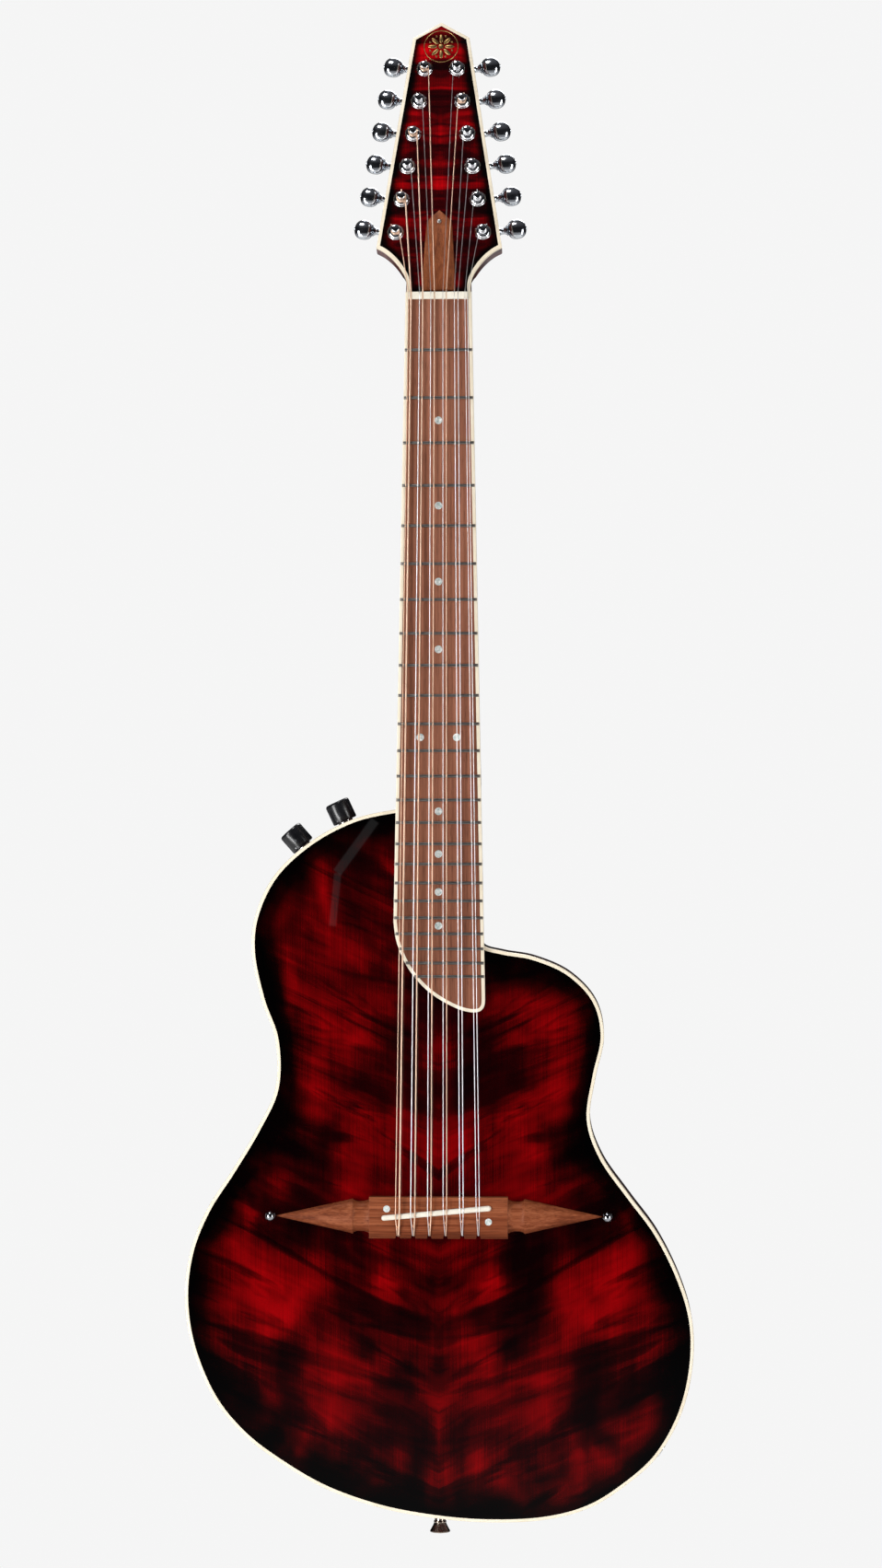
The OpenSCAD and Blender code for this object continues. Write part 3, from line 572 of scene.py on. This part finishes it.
# Carried-over nodes get their own materials; most visible ones are replaced below
KEEP = {"top_braces": "spruce", "truss_rod": "zinc", "piezo_pickup": "brass", "preamp_board": "green",
        "battery": "case", "wiring": "wire", "potentiometers": "zinc"}
for name, key in KEEP.items():
    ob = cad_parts[name]
    ob.data.materials.clear()
    ob.data.materials.append(M[key])

# ---------------------------------------------------------------- body
s = Shape()
s.slab(body_out, [(BIND_W, 5), (BIND_W, SHELL_FRONT), (0, SHELL_FRONT), (0, 36), (0.5, 40), (1.8, 44),
                  (4, 47.5), (7.5, SHELL_BACK)])
s.make("body_shell_lacquered", M["shell"], slot="shell_wood", gone=["body_shell"])
for side, label in ((-1, "bass"), (1, "treble")):
    plate_with_edge("soundboard_%s_figured" % label, inset(body_out, BIND_W), 0, 5, 7.0, M["top"],
                    x_from=side, slot="top_maple", gone=["soundboard_" + label])
s = Shape()
s.strip(body_out, [(0, SHELL_FRONT), (0, 1.1), (0.12, 0.55), (0.4, 0.18), (0.9, 0), (BIND_W, 0),
                   (BIND_W, SHELL_FRONT)])
s.make("body_binding_rounded", M["cream"], slot="cream_binding", gone=["body_binding"])

# Battery cover in the back
rect = [(BATTERY_X + sx * BATTERY_HALF_W, BATTERY_Z + sz * BATTERY_HALF_H)
        for sx, sz in ((-1, -1), (1, -1), (1, 1), (-1, 1))]


def rounded(outline, r, n=5):
    """An outline with each corner replaced by a curve that starts r away from it."""
    out = []
    for i, b in enumerate(outline):
        b = Vector(b)
        a, c = Vector(outline[i - 1]), Vector(outline[(i + 1) % len(outline)])
        p, q = b + (a - b).normalized() * r, b + (c - b).normalized() * r
        steps = [j / n for j in range(n + 1)]
        out += [tuple((1 - t) ** 2 * p + 2 * t * (1 - t) * b + t * t * q) for t in steps]
    return out


s = Shape()
s.slab(rounded(rect, 4), [(0, 49), (0, 50.3), (0.2, 50.7), (0.7, 50.9)])
s.make("battery_cover_plate", M["black"], slot="black_plastic", gone=["battery_cover"])


def screw(shape, m, r=1.9):
    """Pan head with a cross recess; local Z points out of the work."""
    shape.revolve([(0, -5.5), (0.7, -5.0), (1.0, -4.4), (1.0, 0), (r, 0), (r, 0.35), (r * 0.86, 0.85),
                   (r * 0.5, 1.15), (0.62, 1.2), (0.45, 0.55), (0, 0.5)], m, 28)


# ---------------------------------------------------------------- neck and headstock wood
def neck_ring(m, w, d, p, n=44):
    """Half a superellipse behind the face: half width w, depth d and squareness p."""
    pts = []
    for i in range(n + 1):
        a = math.pi * i / n
        c, t = math.cos(a), math.sin(a)
        at = Vector((math.copysign(w * abs(c) ** (2 / p), c), d * abs(t) ** (2 / p), 0))
        pts.append(tuple(m @ at))
    return pts


HEAD_T, HEAD_P = 13, 12                 # the headstock's thickness and squareness
HEEL = ((-402, 44, 3.2), (-352, 43.4, 3.2), (-346, 42.2, 3.1), (-340, 39.6, 3.0), (-334, 35.4, 2.8),
        (-328, 30.6, 2.6), (-321, 26.0, 2.45), (-312, 22.3, 2.3), (-300, 20.3, 2.2),
        (-285, 19.3, 2.15))             # z, depth, squareness
TENON_HALF_W, TENON_END = 29.5, -350    # the heel is narrower where it is let into the body
wing_w, wing_u = THROAT[-1]
rings = []
for z, d, p in HEEL:
    w = min(board_half(z), TENON_HALF_W) if z < TENON_END else board_half(z)
    rings.append(neck_ring(shift(0, 0, z), w, d, p))
for z in range(-260, -10, 25):
    rings.append(neck_ring(shift(0, 0, z), board_half(z), 0.6 * board_half(z), 2.15))
for z, d, a in ((-8, 14.8, 0), (0, 15.8, 0.25), (3.5, 16.0, 0.6)):
    rings.append(neck_ring(shift(0, 0, z) @ Matrix.Rotation(-TILT * a, 4, "X"), board_half(z), d, 2.3))
depths = [15.4, 14.9, 14.4, 13.9, 13.5, 13.2] + [HEAD_T] * 40
powers = [2.6, 3.2, 4, 5, 6, 8] + [HEAD_P] * 40
for (w, u), d, p in zip(throat[8:], depths, powers):
    rings.append(neck_ring(HEAD @ shift(0, 0, u), w, d, p))
for i in range(1, 11):
    u = wing_u + (SHOULDER[1] - wing_u) * i / 10
    w = wing_w + (SHOULDER[0] - wing_w) * i / 10
    rings.append(neck_ring(HEAD @ shift(0, 0, u), w, HEAD_T, HEAD_P))
for u in (200, 203, 206, 208.9):
    w = SHOULDER[0] * (TIP[1] - u) / (TIP[1] - SHOULDER[1])
    rings.append(neck_ring(HEAD @ shift(0, 0, u), w, HEAD_T, HEAD_P))
s = Shape()
s.loft(rings)
s.make("neck_carved", M["neck"], slot="neck_mahogany", gone=["neck"], sharp=38)

head_in = inset(head_out, BIND_W)
veneer_out = [p for p in head_in if p[1] > 0.2]
veneer_out = [(veneer_out[0][0], 0.0)] + veneer_out + [(veneer_out[-1][0], 0.0)]
plate_with_edge("headstock_veneer_figured", veneer_out, -VENEER, 0, 6.0, M["veneer"], m=HEAD,
                slot="veneer_maple", gone=["headstock_veneer"])
s = Shape()
s.strip(head_out, [(0, 0.4), (0, -VENEER + 0.55), (0.16, -VENEER + 0.16), (0.55, -VENEER - 0.02),
                   (BIND_W, -VENEER - 0.02), (BIND_W, 0.4)], HEAD, closed=False)
s.make("headstock_binding_rounded", M["cream"], slot="cream_binding", gone=["headstock_binding"])

# Plain ring with a generic eight-petal rosette
s = Shape()
at = HEAD @ shift(0, -VENEER, ROSETTE_U) @ FRONT
s.revolve([(12.0, -0.1), (12.0, 0.18), (12.15, 0.3), (12.45, 0.3), (12.6, 0.18), (12.6, -0.1)], at, 72)
s.revolve([(0, 0.55), (1.1, 0.45), (1.8, 0.2), (1.9, -0.1), (0, -0.1)], at, 24)
for i in range(8):
    petal = at @ turn(45 * i, "Z") @ shift(6.1, 0, 0) @ Matrix.Diagonal((1, 0.42, 1, 1))
    s.revolve([(0, 0.5), (1.6, 0.42), (2.9, 0.2), (3.5, -0.1), (0, -0.1)], petal, 24)
    bead = at @ turn(45 * i + 22.5, "Z") @ shift(8.6, 0, 0)
    s.revolve([(0, 0.4), (0.6, 0.3), (0.85, -0.1), (0, -0.1)], bead, 16)
s.make("headstock_rosette", M["gilt"], slot="inlay_metal", gone=["headstock_emblem"])

s = Shape()
s.slab(COVER, [(0, -VENEER), (0, -VENEER - 1.1), (0.25, -VENEER - 1.6), (0.9, -VENEER - 1.8)], HEAD)
s.make("truss_rod_cover_bevelled", M["cover"], slot="rosewood", gone=["truss_rod_cover"])

# ---------------------------------------------------------------- fingerboard
def board_left(z):
    """The fingerboard's left edge, which curves away at its lower end."""
    pts = board_out[1:-1]
    if z > pts[0][1]:
        return -board_half(z)
    for a, b in zip(pts, pts[1:]):
        if b[1] <= z <= a[1]:
            t = (a[1] - z) / max(a[1] - b[1], 1e-6)
            return a[0] + t * (b[0] - a[0])
    return pts[-1][0]


inner = inset([(-board_half(NUT_L + BIND_W), NUT_L + BIND_W)] + board_out[1:-1]
              + [(board_half(NUT_L + BIND_W), NUT_L + BIND_W)], BIND_W)
wood_out = [(inner[0][0] - 0.1, 0.0)] + inner[1:-1] + [(inner[-1][0] + 0.1, 0.0)]
s = Shape()
s.slab(wood_out, [(0, 0), (0, -BOARD_T)])
s.make("fingerboard_planed", M["board"], slot="rosewood", gone=["fingerboard"])
s = Shape()
s.strip(board_out, [(0, 0), (0, -BOARD_T + 0.5), (0.15, -BOARD_T + 0.15), (0.5, -BOARD_T - 0.01),
                    (BIND_W, -BOARD_T - 0.01), (BIND_W, 0)], closed=False)
s.make("fingerboard_binding_rounded", M["cream"], slot="cream_binding", gone=["fingerboard_binding"])

FRET_HALF_W = 1.05
s = Shape()
for k in range(1, 25):
    z = fret_z(k)
    x0, x1 = board_left(z) + 0.35, board_half(z) - 0.35
    rings = []
    for x, h in ((x0, 0.12), (x0 + 0.25, 0.62), (x0 + 0.7, 0.95), (x0 + 1.3, 1.05),
                 (x1 - 1.3, 1.05), (x1 - 0.7, 0.95), (x1 - 0.25, 0.62), (x1, 0.12)):
        rings.append([(x, -BOARD_T + 0.02 - h * math.sin(math.pi * i / 8) ** 0.8,
                       z - FRET_HALF_W * math.cos(math.pi * i / 8)) for i in range(9)])
    s.loft(rings)
s.make("frets_crowned", M["fret"], slot="fret_metal", gone=["frets"])

# Position dots, two of them at the octave, and two more in the bridge block
s = Shape()
for k, x in [(k, 0) for k in (3, 5, 7, 9, 15, 17, 19, 21)] + [(12, -13), (12, 13)]:
    s.revolve([(0, 0.05), (2.7, 0.03), (2.78, -0.2), (0, -0.2)],
              shift(x, -BOARD_T, (fret_z(k) + fret_z(k - 1)) / 2) @ FRONT, 32)
for x, z in ((-36.9, -648.4), (35.7, -657.5)):
    s.revolve([(0, 0.1), (2.4, 0.06), (2.6, -0.2), (0, -0.2)], shift(x, -BRIDGE_H, z) @ FRONT, 32)
s.make("pearl_inlays", M["pearl"], slot="pearl", gone=["pearl_dots"])

# Nut with a slot for every string
s = Shape()
NUT_HALF, NUT_TOP, STRING_Y = 21.15, -8.3, -7.9
xs = [(-NUT_HALF, NUT_TOP + 0.1)]
for string in STRINGS:
    nx, h = string[0], string[2] * 1.05 + 0.04
    low = STRING_Y + h
    xs += [(nx - h - 0.02, NUT_TOP), (nx - h, low), (nx + h, low), (nx + h + 0.02, NUT_TOP)]
xs.append((NUT_HALF, NUT_TOP + 0.1))
rings = []
for x, top in xs:
    rings.append([(x, 0, 0), (x, top + 0.35, 0), (x, top + 0.05, 0.35), (x, top, 1.2),
                  (x, top, NUT_L - 0.6), (x, top + 0.15, NUT_L - 0.15), (x, top + 0.5, NUT_L),
                  (x, 0, NUT_L)])
s.loft(rings)
s.make("nut_slotted", M["bone"], slot="bone", gone=["nut"])

# ---------------------------------------------------------------- bridge
REAR, FORE, BLOCK_HALF = -669.5, -640, 49.5
outline = [(-BLOCK_HALF, REAR)]
for x in NOTCH_X:
    round_end = [(x - 1.5 * math.cos(math.pi * i / 8), REAR + 0.8 + 1.9 * math.sin(math.pi * i / 8))
                 for i in range(9)]
    outline += [(x - 1.6, REAR)] + round_end + [(x + 1.6, REAR)]
outline += [(BLOCK_HALF, REAR), (BLOCK_HALF, FORE), (-BLOCK_HALF, FORE)]
s = Shape()
s.slab(outline, [(0, 0), (0, -BRIDGE_H + 0.5), (0.12, -BRIDGE_H + 0.15), (0.4, -BRIDGE_H)])
# The turned arms: a waist beside the block, then a long cone; x from the centre, and radius
profile = [(48.5, 12.4), (49.4, 12.3), (50.2, 11.9), (51.6, 11.3), (53.4, 10.9), (55.4, 10.7), (57.4, 10.7),
           (59.0, 11.0), (60.4, 11.4), (61.2, 12.1), (61.5, 12.5), (62.0, 12.4)]
profile += [(62 + 54 * i / 14, 12.3 * (1 - i / 14) + 0.35 * i / 14) for i in range(1, 15)]
profile.append((116.4, 0.05))
for side in (-1, 1):
    rings = []
    for x, r in profile:
        rings.append([(side * x, -0.68 * r * math.sin(math.pi * i / 24),
                       BRIDGE_Z + r * math.cos(math.pi * i / 24)) for i in range(25)])
    s.loft(rings)
s.make("bridge_carved", M["bridge"], slot="rosewood", gone=["bridge"], sharp=28)

s = Shape()
mid = shift(-1.5, 0, -651.3) @ Matrix.Rotation(-math.atan2(SADDLE_RISE, SADDLE_RUN), 4, "Y")
SADDLE_HALF, SADDLE_R = 37.36, 1.9
stadium = [(side * SADDLE_HALF + SADDLE_R * math.cos(a), SADDLE_R * math.sin(a))
           for side, start in ((1, -90), (-1, 90)) for a in arc(start, 15, 13)]
s.slab(stadium, [(0, -6), (0, -9.7), (0.25, -10.3), (0.7, -10.75), (1.25, -10.95), (1.7, -11.0)], mid)
s.make("saddle_crowned", M["bone"], slot="bone", gone=["saddle"])

s = Shape()
ball = [(3.45 * math.sin(a), 3.6 - 3.2 * math.cos(a)) for a in arc(40, 10, 14)]
for x in STUD_X:
    s.revolve([(0, -0.1), (2.2, -0.1), (2.3, 0.5), (2.0, 0.9)] + ball + [(0, 6.8)],
              shift(x, 0, BRIDGE_Z) @ FRONT, 32)
s.make("bridge_ball_studs", M["dark_chrome"], slot="dark_chrome", gone=["bridge_studs"])

s = Shape()
for x in BALL_X:
    s.revolve([(0.98 * math.sin(a), -0.98 * math.cos(a)) for a in arc(0, 15, 13)],
              shift(x, -BRIDGE_H - 0.3, saddle_z(x) - 7.5) @ FRONT, 20)
s.make("string_ball_ends", M["brass"], slot="inlay_metal", gone=["string_balls"])


# ---------------------------------------------------------------- strings
WRAP_R, WRAP_Y = 2.55, -7.4


def string_path(row):
    """From the bridge's notch over the saddle and the nut, then round the post."""
    nx, sx, r, side, k, course = row[:6]
    partner = STRINGS[2 * course][0] + STRINGS[2 * course + 1][0]
    lean = -1 if nx < partner / 2 else 1
    px = NOTCH_X[course] + lean * (r + 0.12)
    z_notch = -667.6
    lift = SADDLE_H + 0.12 + r
    sz = saddle_z(sx)
    path = [(px, -1.5, z_notch), (px, -6.6, z_notch), (px, STRING_Y - r * 0.7, z_notch + 0.1),
            (px, -8.6 - r, z_notch + 0.7), (sx + (px - sx) * 0.06, -lift + 0.16, sz - 0.8),
            (sx, -lift, sz), (sx + (nx - sx) * 0.002, -lift + 0.01, sz + 1.2)]
    for t in (0.1, 0.3, 0.5, 0.7, 0.9):
        path.append((sx + (nx - sx) * t, -lift + (lift + STRING_Y) * t, sz + (NUT_L - sz) * t))
    path += [(nx, -7.92, 3.6), (nx, -7.88, NUT_L)]
    m = tuner_matrix(side, k)
    wr = WRAP_R + r
    # the string meets the post on its inner side, then wraps round it
    inner_ang = math.pi + OUT
    start = m @ Vector((wr * math.cos(inner_ang), WRAP_Y, wr * math.sin(inner_ang)))
    a = Vector(path[-1])
    for t in (0.08, 0.4, 0.8):
        path.append(tuple(a.lerp(start, t)))
    turns = 3 if r < 0.4 else 2
    steps = 20 * turns
    pitch = max(2.05 * r, 0.42)
    for i in range(steps + 1):
        q = inner_ang - 2 * math.pi * turns * i / steps
        y = WRAP_Y + pitch * turns * i / steps
        path.append(tuple(m @ Vector((wr * math.cos(q), y, wr * math.sin(q)))))
    return path


# Drawn thicker than they are, to read as they do in the photo
for wound, label, key, slot_name, wider in ((1, "wound_strings", "bronze", "bronze_wire", 1.15),
                                            (0, "plain_strings", "steel_wire", "steel_wire", 1.4)):
    s = Shape()
    for row in STRINGS:
        if row[6] == wound:
            s.tube(string_path(row), row[2] * wider, 10)
    s.make(label + "_wrapped", M[key], slot=slot_name, gone=[label], sharp=60)


# ---------------------------------------------------------------- tuners
def box_ring(w0, w1, h0, h1, c, y):
    """A rectangle with rounded corners, at depth y."""
    pts = rounded([(w0, h0), (w1, h0), (w1, h1), (w0, h1)], c, 4)
    return [(x, y, z) for x, z in pts]


HOUSING = ((-8, 9.5, -7.5, 12, 2.5, 13), (-8, 9.5, -7.5, 12, 2.5, 21), (-7.6, 9.3, -7.1, 11.6, 2.4, 22.4),
           (-6.6, 8.6, -6.1, 10.7, 2.2, 23.5), (-5.0, 7.2, -4.6, 9.2, 2.0, 24))
HOUSING_LUG = ((-3, 3, -12.0, -6.9, 1.8, 13), (-3, 3, -12.0, -6.9, 1.8, 14.3),
               (-2.7, 2.7, -11.7, -6.9, 1.6, 14.5))
# Turned profiles: radius, height
BUSHING = [(3.05, -6), (4.0, -6), (4.0, 2.4), (6.05, 2.4), (6.1, 2.8), (5.95, 3.15), (5.75, 3.3),
           (5.7, 3.6), (5.45, 4.2), (5.0, 4.75), (4.4, 5.15), (3.8, 5.35), (3.3, 5.4), (3.05, 5.25)]
POST = [(0, -20.5), (4.1, -20.5), (4.3, -20.2), (4.3, -16.8), (4.1, -16.5), (3, -16.5), (3, 5.0),
        (2.92, 5.3), (2.5, 5.9), (2.48, 7.4), (2.5, 9.0), (2.9, 9.5), (3, 9.75), (3, 10.1), (2.85, 10.4),
        (2.45, 10.65), (1.8, 10.85), (0.9, 10.96), (0, 11)]
WORM_SHAFT = [(0, -5.7), (2.2, -5.7), (2.4, -5.4), (2.4, 5.4), (2.0, 5.7), (2.0, 10.6), (2.85, 10.6),
              (2.95, 10.9), (2.95, 12.4), (2.75, 12.8), (2.35, 13.2), (2.25, 14.2), (2.25, 15.6),
              (2.5, 16.6), (3.1, 17.6), (4.0, 18.4), (0, 19.4)]
END_SCREW = [(0, 6.0), (1.7, 6.0), (1.8, 6.65), (1.6, 7.05), (1.2, 7.2), (0.5, 7.25), (0.4, 6.9), (0, 6.9)]
TAIL_AT = (-3.6, -2.6, 0, 2.6, 4.2)
s_house, s_bush, s_screw = Shape(), Shape(), Shape()
for side in (-1, 1):
    for k in range(6):
        m = tuner_matrix(side, k)
        worm = m @ shift(0, WORM_Y, WORM_U) @ SIDEWAYS
        s_house.loft([box_ring(*ring) for ring in HOUSING], m)
        s_house.loft([box_ring(*ring) for ring in HOUSING_LUG], m)
        s_house.revolve([(2.05, 9.4), (3.3, 9.4), (3.3, 10.1), (3.0, 10.4), (2.05, 10.4)], worm, 28)
        s_bush.revolve(BUSHING, m @ FRONT, 48)
        screw(s_screw, m @ shift(0, 14.5, -9.7) @ FRONT.inverted())
        label = ("b" if side < 0 else "t") + str(k + 1)
        p = Shape()
        p.revolve(POST, m @ FRONT, 40)
        p.make("post_turned_" + label, M["chrome"], "post_" + label, "chrome_parts",
               ["tuner_post_" + label])
        r, wound = next((t[2], t[6]) for t in STRINGS if t[3] == side and t[4] == k)
        t = Shape()
        a = math.radians(35 + 50 * k)
        d = Vector((math.cos(a), 0, math.sin(a)))
        t.tube([tuple(d * q + Vector((0, -10.05 - 0.1 * abs(q) ** 1.2, 0))) for q in TAIL_AT],
               max(r * 0.9, 0.2), 8, m)
        t.make("string_tail_" + label, M["bronze" if wound else "steel_wire"], "post_" + label,
               "bronze_wire" if wound else "steel_wire")
        b = Shape()
        b.revolve(WORM_SHAFT, worm, 32)
        # the oval thumb piece, a flattened ball
        n, rows = 40, 22
        verts_rings = []
        for i in range(1, rows):
            q = math.pi * i / rows
            hx = math.copysign(abs(math.cos(q)) ** 0.86, math.cos(q))
            rr = math.sin(q) ** 0.86
            verts_rings.append([(BUTTON_X - 6.9 * hx, WORM_Y + 4.7 * rr * math.sin(2 * math.pi * j / n),
                                 WORM_U + 7.4 * rr * math.cos(2 * math.pi * j / n)) for j in range(n)])
        b.loft(verts_rings, m)
        b.revolve([(end_r, BUTTON_X + h) for end_r, h in END_SCREW], worm, 20)
        b.make("button_oval_" + label, M["button_chrome"], "button_" + label, "chrome_parts",
               ["tuner_button_" + label], sharp=40)
s_house.make("tuner_housings_cast", M["chrome"], slot="chrome_parts", gone=["tuner_housings"])
s_bush.make("tuner_bushings_domed", M["chrome"], slot="chrome_parts", gone=["tuner_bushings"])
for sx in (-1, 1):
    for sz in (-1, 1):
        at = shift(BATTERY_X + sx * (BATTERY_HALF_W - 3), SHELL_BACK + 0.6,
                   BATTERY_Z + sz * (BATTERY_HALF_H - 3))
        screw(s_screw, at @ FRONT.inverted())
screw(s_screw, HEAD @ shift(0, -VENEER - 1.75, 53) @ FRONT, 1.6)
s_screw.make("small_screws_crossed", M["zinc"], slot="plated_steel", gone=["small_screws"])

# ---------------------------------------------------------------- rim fittings
s_ring = Shape()
for name, place in KNOBS:
    m = rim_matrix(*place)
    k = Shape()
    k.revolve([(0, -11), (2.9, -11), (3, -10.8), (3, 2.0), (6.6, 2.0), (6.6, 1.0), (8.3, 1.0),
               (8.75, 1.3), (8.95, 1.9), (8.95, 14.2), (8.8, 15.0), (8.35, 15.7), (7.5, 16.1),
               (6.3, 16.2), (0, 16.2)], m, 64)
    k.make(name + "_barrel", M["black"], name + "_body", "black_plastic", [name])
    d = Shape()
    for h, a, r in ((7.5, -100, 0.85), (3.0, -122, 0.55)):
        out = m @ turn(a, "Z") @ shift(8.72, 0, h) @ SIDEWAYS
        d.revolve([(0, 0.22), (r * 0.45, 0.2), (r * 0.5, 0.3), (r, 0.3), (r, -0.6), (0, -0.6)], out, 20)
    d.make(name + "_set_screw", M["chrome"], name + "_body", "chrome_parts")
    s_ring.revolve([(3.1, -0.6), (5.5, -0.6), (5.6, 0.4), (5.4, 0.6), (4.6, 0.7), (4.6, 1.6),
                    (3.1, 1.7)], m, 36)
s_ring.make("control_washers", M["zinc"], slot="plated_steel")

s = Shape()
s.revolve([(3.2, -30), (6, -30), (6, -1.2), (7.5, -1.2), (7.5, 0.5), (7.2, 0.9), (5.8, 1.0), (5.6, 2.2),
           (5.2, 2.5), (3.6, 2.5), (3.2, 2.2)], rim_matrix(*JACK), 48)
s.make("output_jack_turned", M["chrome"], slot="chrome_parts", gone=["output_jack"])
s = Shape()
m = rim_matrix(*STRAP)
s.revolve([(1.6, -0.2), (5.9, -0.2), (6.05, 0.4), (5.8, 1.0), (4.6, 1.7), (4.0, 2.6), (3.85, 4.2),
           (3.85, 5.6), (4.5, 6.1), (4.6, 6.7), (4.3, 7.2), (4.6, 8.2), (5.6, 10.2), (6.8, 12.4),
           (7.25, 13.3), (7.2, 13.8), (6.7, 14.1), (3.6, 14.1), (1.6, 12.3)], m, 48)
s.make("strap_button_flared", M["strap_metal"], slot="chrome_parts", gone=["strap_button"])
s = Shape()
s.revolve([(0, -20), (1.5, -17), (1.6, 12.1), (3.4, 14.0), (3.3, 14.4), (2.4, 14.9), (0.9, 15.1),
           (0.5, 14.4), (0, 14.4)], m, 32)
s.make("strap_screw_crossed", M["zinc"], slot="chrome_parts", gone=["strap_screw"])

# ---------------------------------------------------------------- floor, lights and camera
floor_mat, nt, bsdf = new_mat("pale_floor")
feed(nt, bsdf, Base_Color=mix(nt, noise(nt, coords(nt), 3.0), (0.86, 0.86, 0.85), (0.90, 0.90, 0.89)))
settings(bsdf, Roughness=0.8)
me = bpy.data.meshes.new("pale_floor")
FLOOR_R, FLOOR_Z, FLOOR_N = 1.6, -1.30, 96
turns = [2 * math.pi * i / FLOOR_N for i in range(FLOOR_N)]
verts = [(FLOOR_R * math.cos(a), FLOOR_R * math.sin(a), FLOOR_Z) for a in turns]
me.from_pydata(verts, [], [list(range(FLOOR_N))])
me.materials.append(floor_mat)
floor = bpy.data.objects.new("pale_floor", me)
bpy.context.scene.collection.objects.link(floor)

world = bpy.data.worlds.new("studio")
world.use_nodes = True
bpy.context.scene.world = world
wt = world.node_tree
back = wt.nodes["Background"]
# A pale backdrop for the eye, even light for matt surfaces, and a dark room above the floor for gloss
path = node(wt, "ShaderNodeLightPath")
aim = node(wt, "ShaderNodeTexCoord").outputs["Generated"]
height = node(wt, "ShaderNodeSeparateXYZ", {"Vector": aim}).outputs[2]
gloss_sky = ramp(wt, maths(wt, "MULTIPLY_ADD", height, 0.5, 0.5),
                 [(0.0, (0.55, 0.55, 0.56)), (0.36, (0.30, 0.30, 0.31)), (0.44, (0.012, 0.012, 0.014)),
                  (0.75, (0.010, 0.010, 0.012)), (1.0, (0.10, 0.10, 0.11))])
unseen = mix(wt, path.outputs["Is Glossy Ray"], (0.42, 0.42, 0.42), gloss_sky)
seen = mix(wt, path.outputs["Is Camera Ray"], unseen, (0.915, 0.915, 0.915))
wt.links.new(seen, back.inputs["Color"])


def lamp(name, at, to, size, power, size_y=None, lean=0.0):
    """A soft rectangular lamp that the camera doesn't see; lean turns it about its own axis."""
    data = bpy.data.lights.new(name, "AREA")
    data.energy = power
    data.shape = "RECTANGLE"
    data.size, data.size_y = size, size_y or size
    ob = bpy.data.objects.new(name, data)
    ob.location = at
    ob.rotation_euler = (Vector(to) - Vector(at)).to_track_quat("-Z", "Y").to_euler()
    if lean:
        ob.rotation_euler.rotate_axis("Z", lean)
    ob.visible_camera = False
    bpy.context.scene.collection.objects.link(ob)


lamp("key_left", (-2.0, -1.9, -0.65), (0, 0, -0.4), 0.7, 66, 2.2)
lamp("fill_right", (2.1, -1.7, -0.45), (0, 0, -0.35), 0.7, 38, 2.2)
lamp("low_left_spot", (-1.0, -1.5, -1.25), (0, 0, -0.3), 0.35, 9)
lamp("top_soft", (-0.6, -0.8, 2.1), (0, 0, -0.2), 0.8, 20, 0.5)
lamp("back_rim", (0.3, 1.6, 1.4), (0, 0, -0.3), 1.2, 34)
# Two thin strips beside the camera, mirrored in the lacquer as the pale streak on the bass side
lamp("streak_high", (-0.2293, -3.02, -0.4352), (-0.0597, 0, -0.3904), 0.013, 0.0011, 0.092, -0.63)
lamp("streak_low", (-0.2595, -3.02, -0.5113), (-0.0747, 0, -0.4284), 0.010, 0.0006, 0.076, -0.10)

bpy.context.scene.view_settings.view_transform = "Standard"

cam_data = bpy.data.cameras.new("camera")
cam_data.sensor_width = 36
cam_data.lens = 96.5
cam_data.clip_start, cam_data.clip_end = 0.1, 50
cam = bpy.data.objects.new("camera", cam_data)
CAM_X, CAM_DIST, CAM_Z, AIM_X = 0.11, 3.0, -0.3456, 0.0016
cam.location = (CAM_X, -CAM_DIST, CAM_Z)
cam.rotation_euler = (math.radians(90), 0, math.atan2(CAM_X - AIM_X, CAM_DIST))
bpy.context.scene.collection.objects.link(cam)
bpy.context.scene.camera = cam
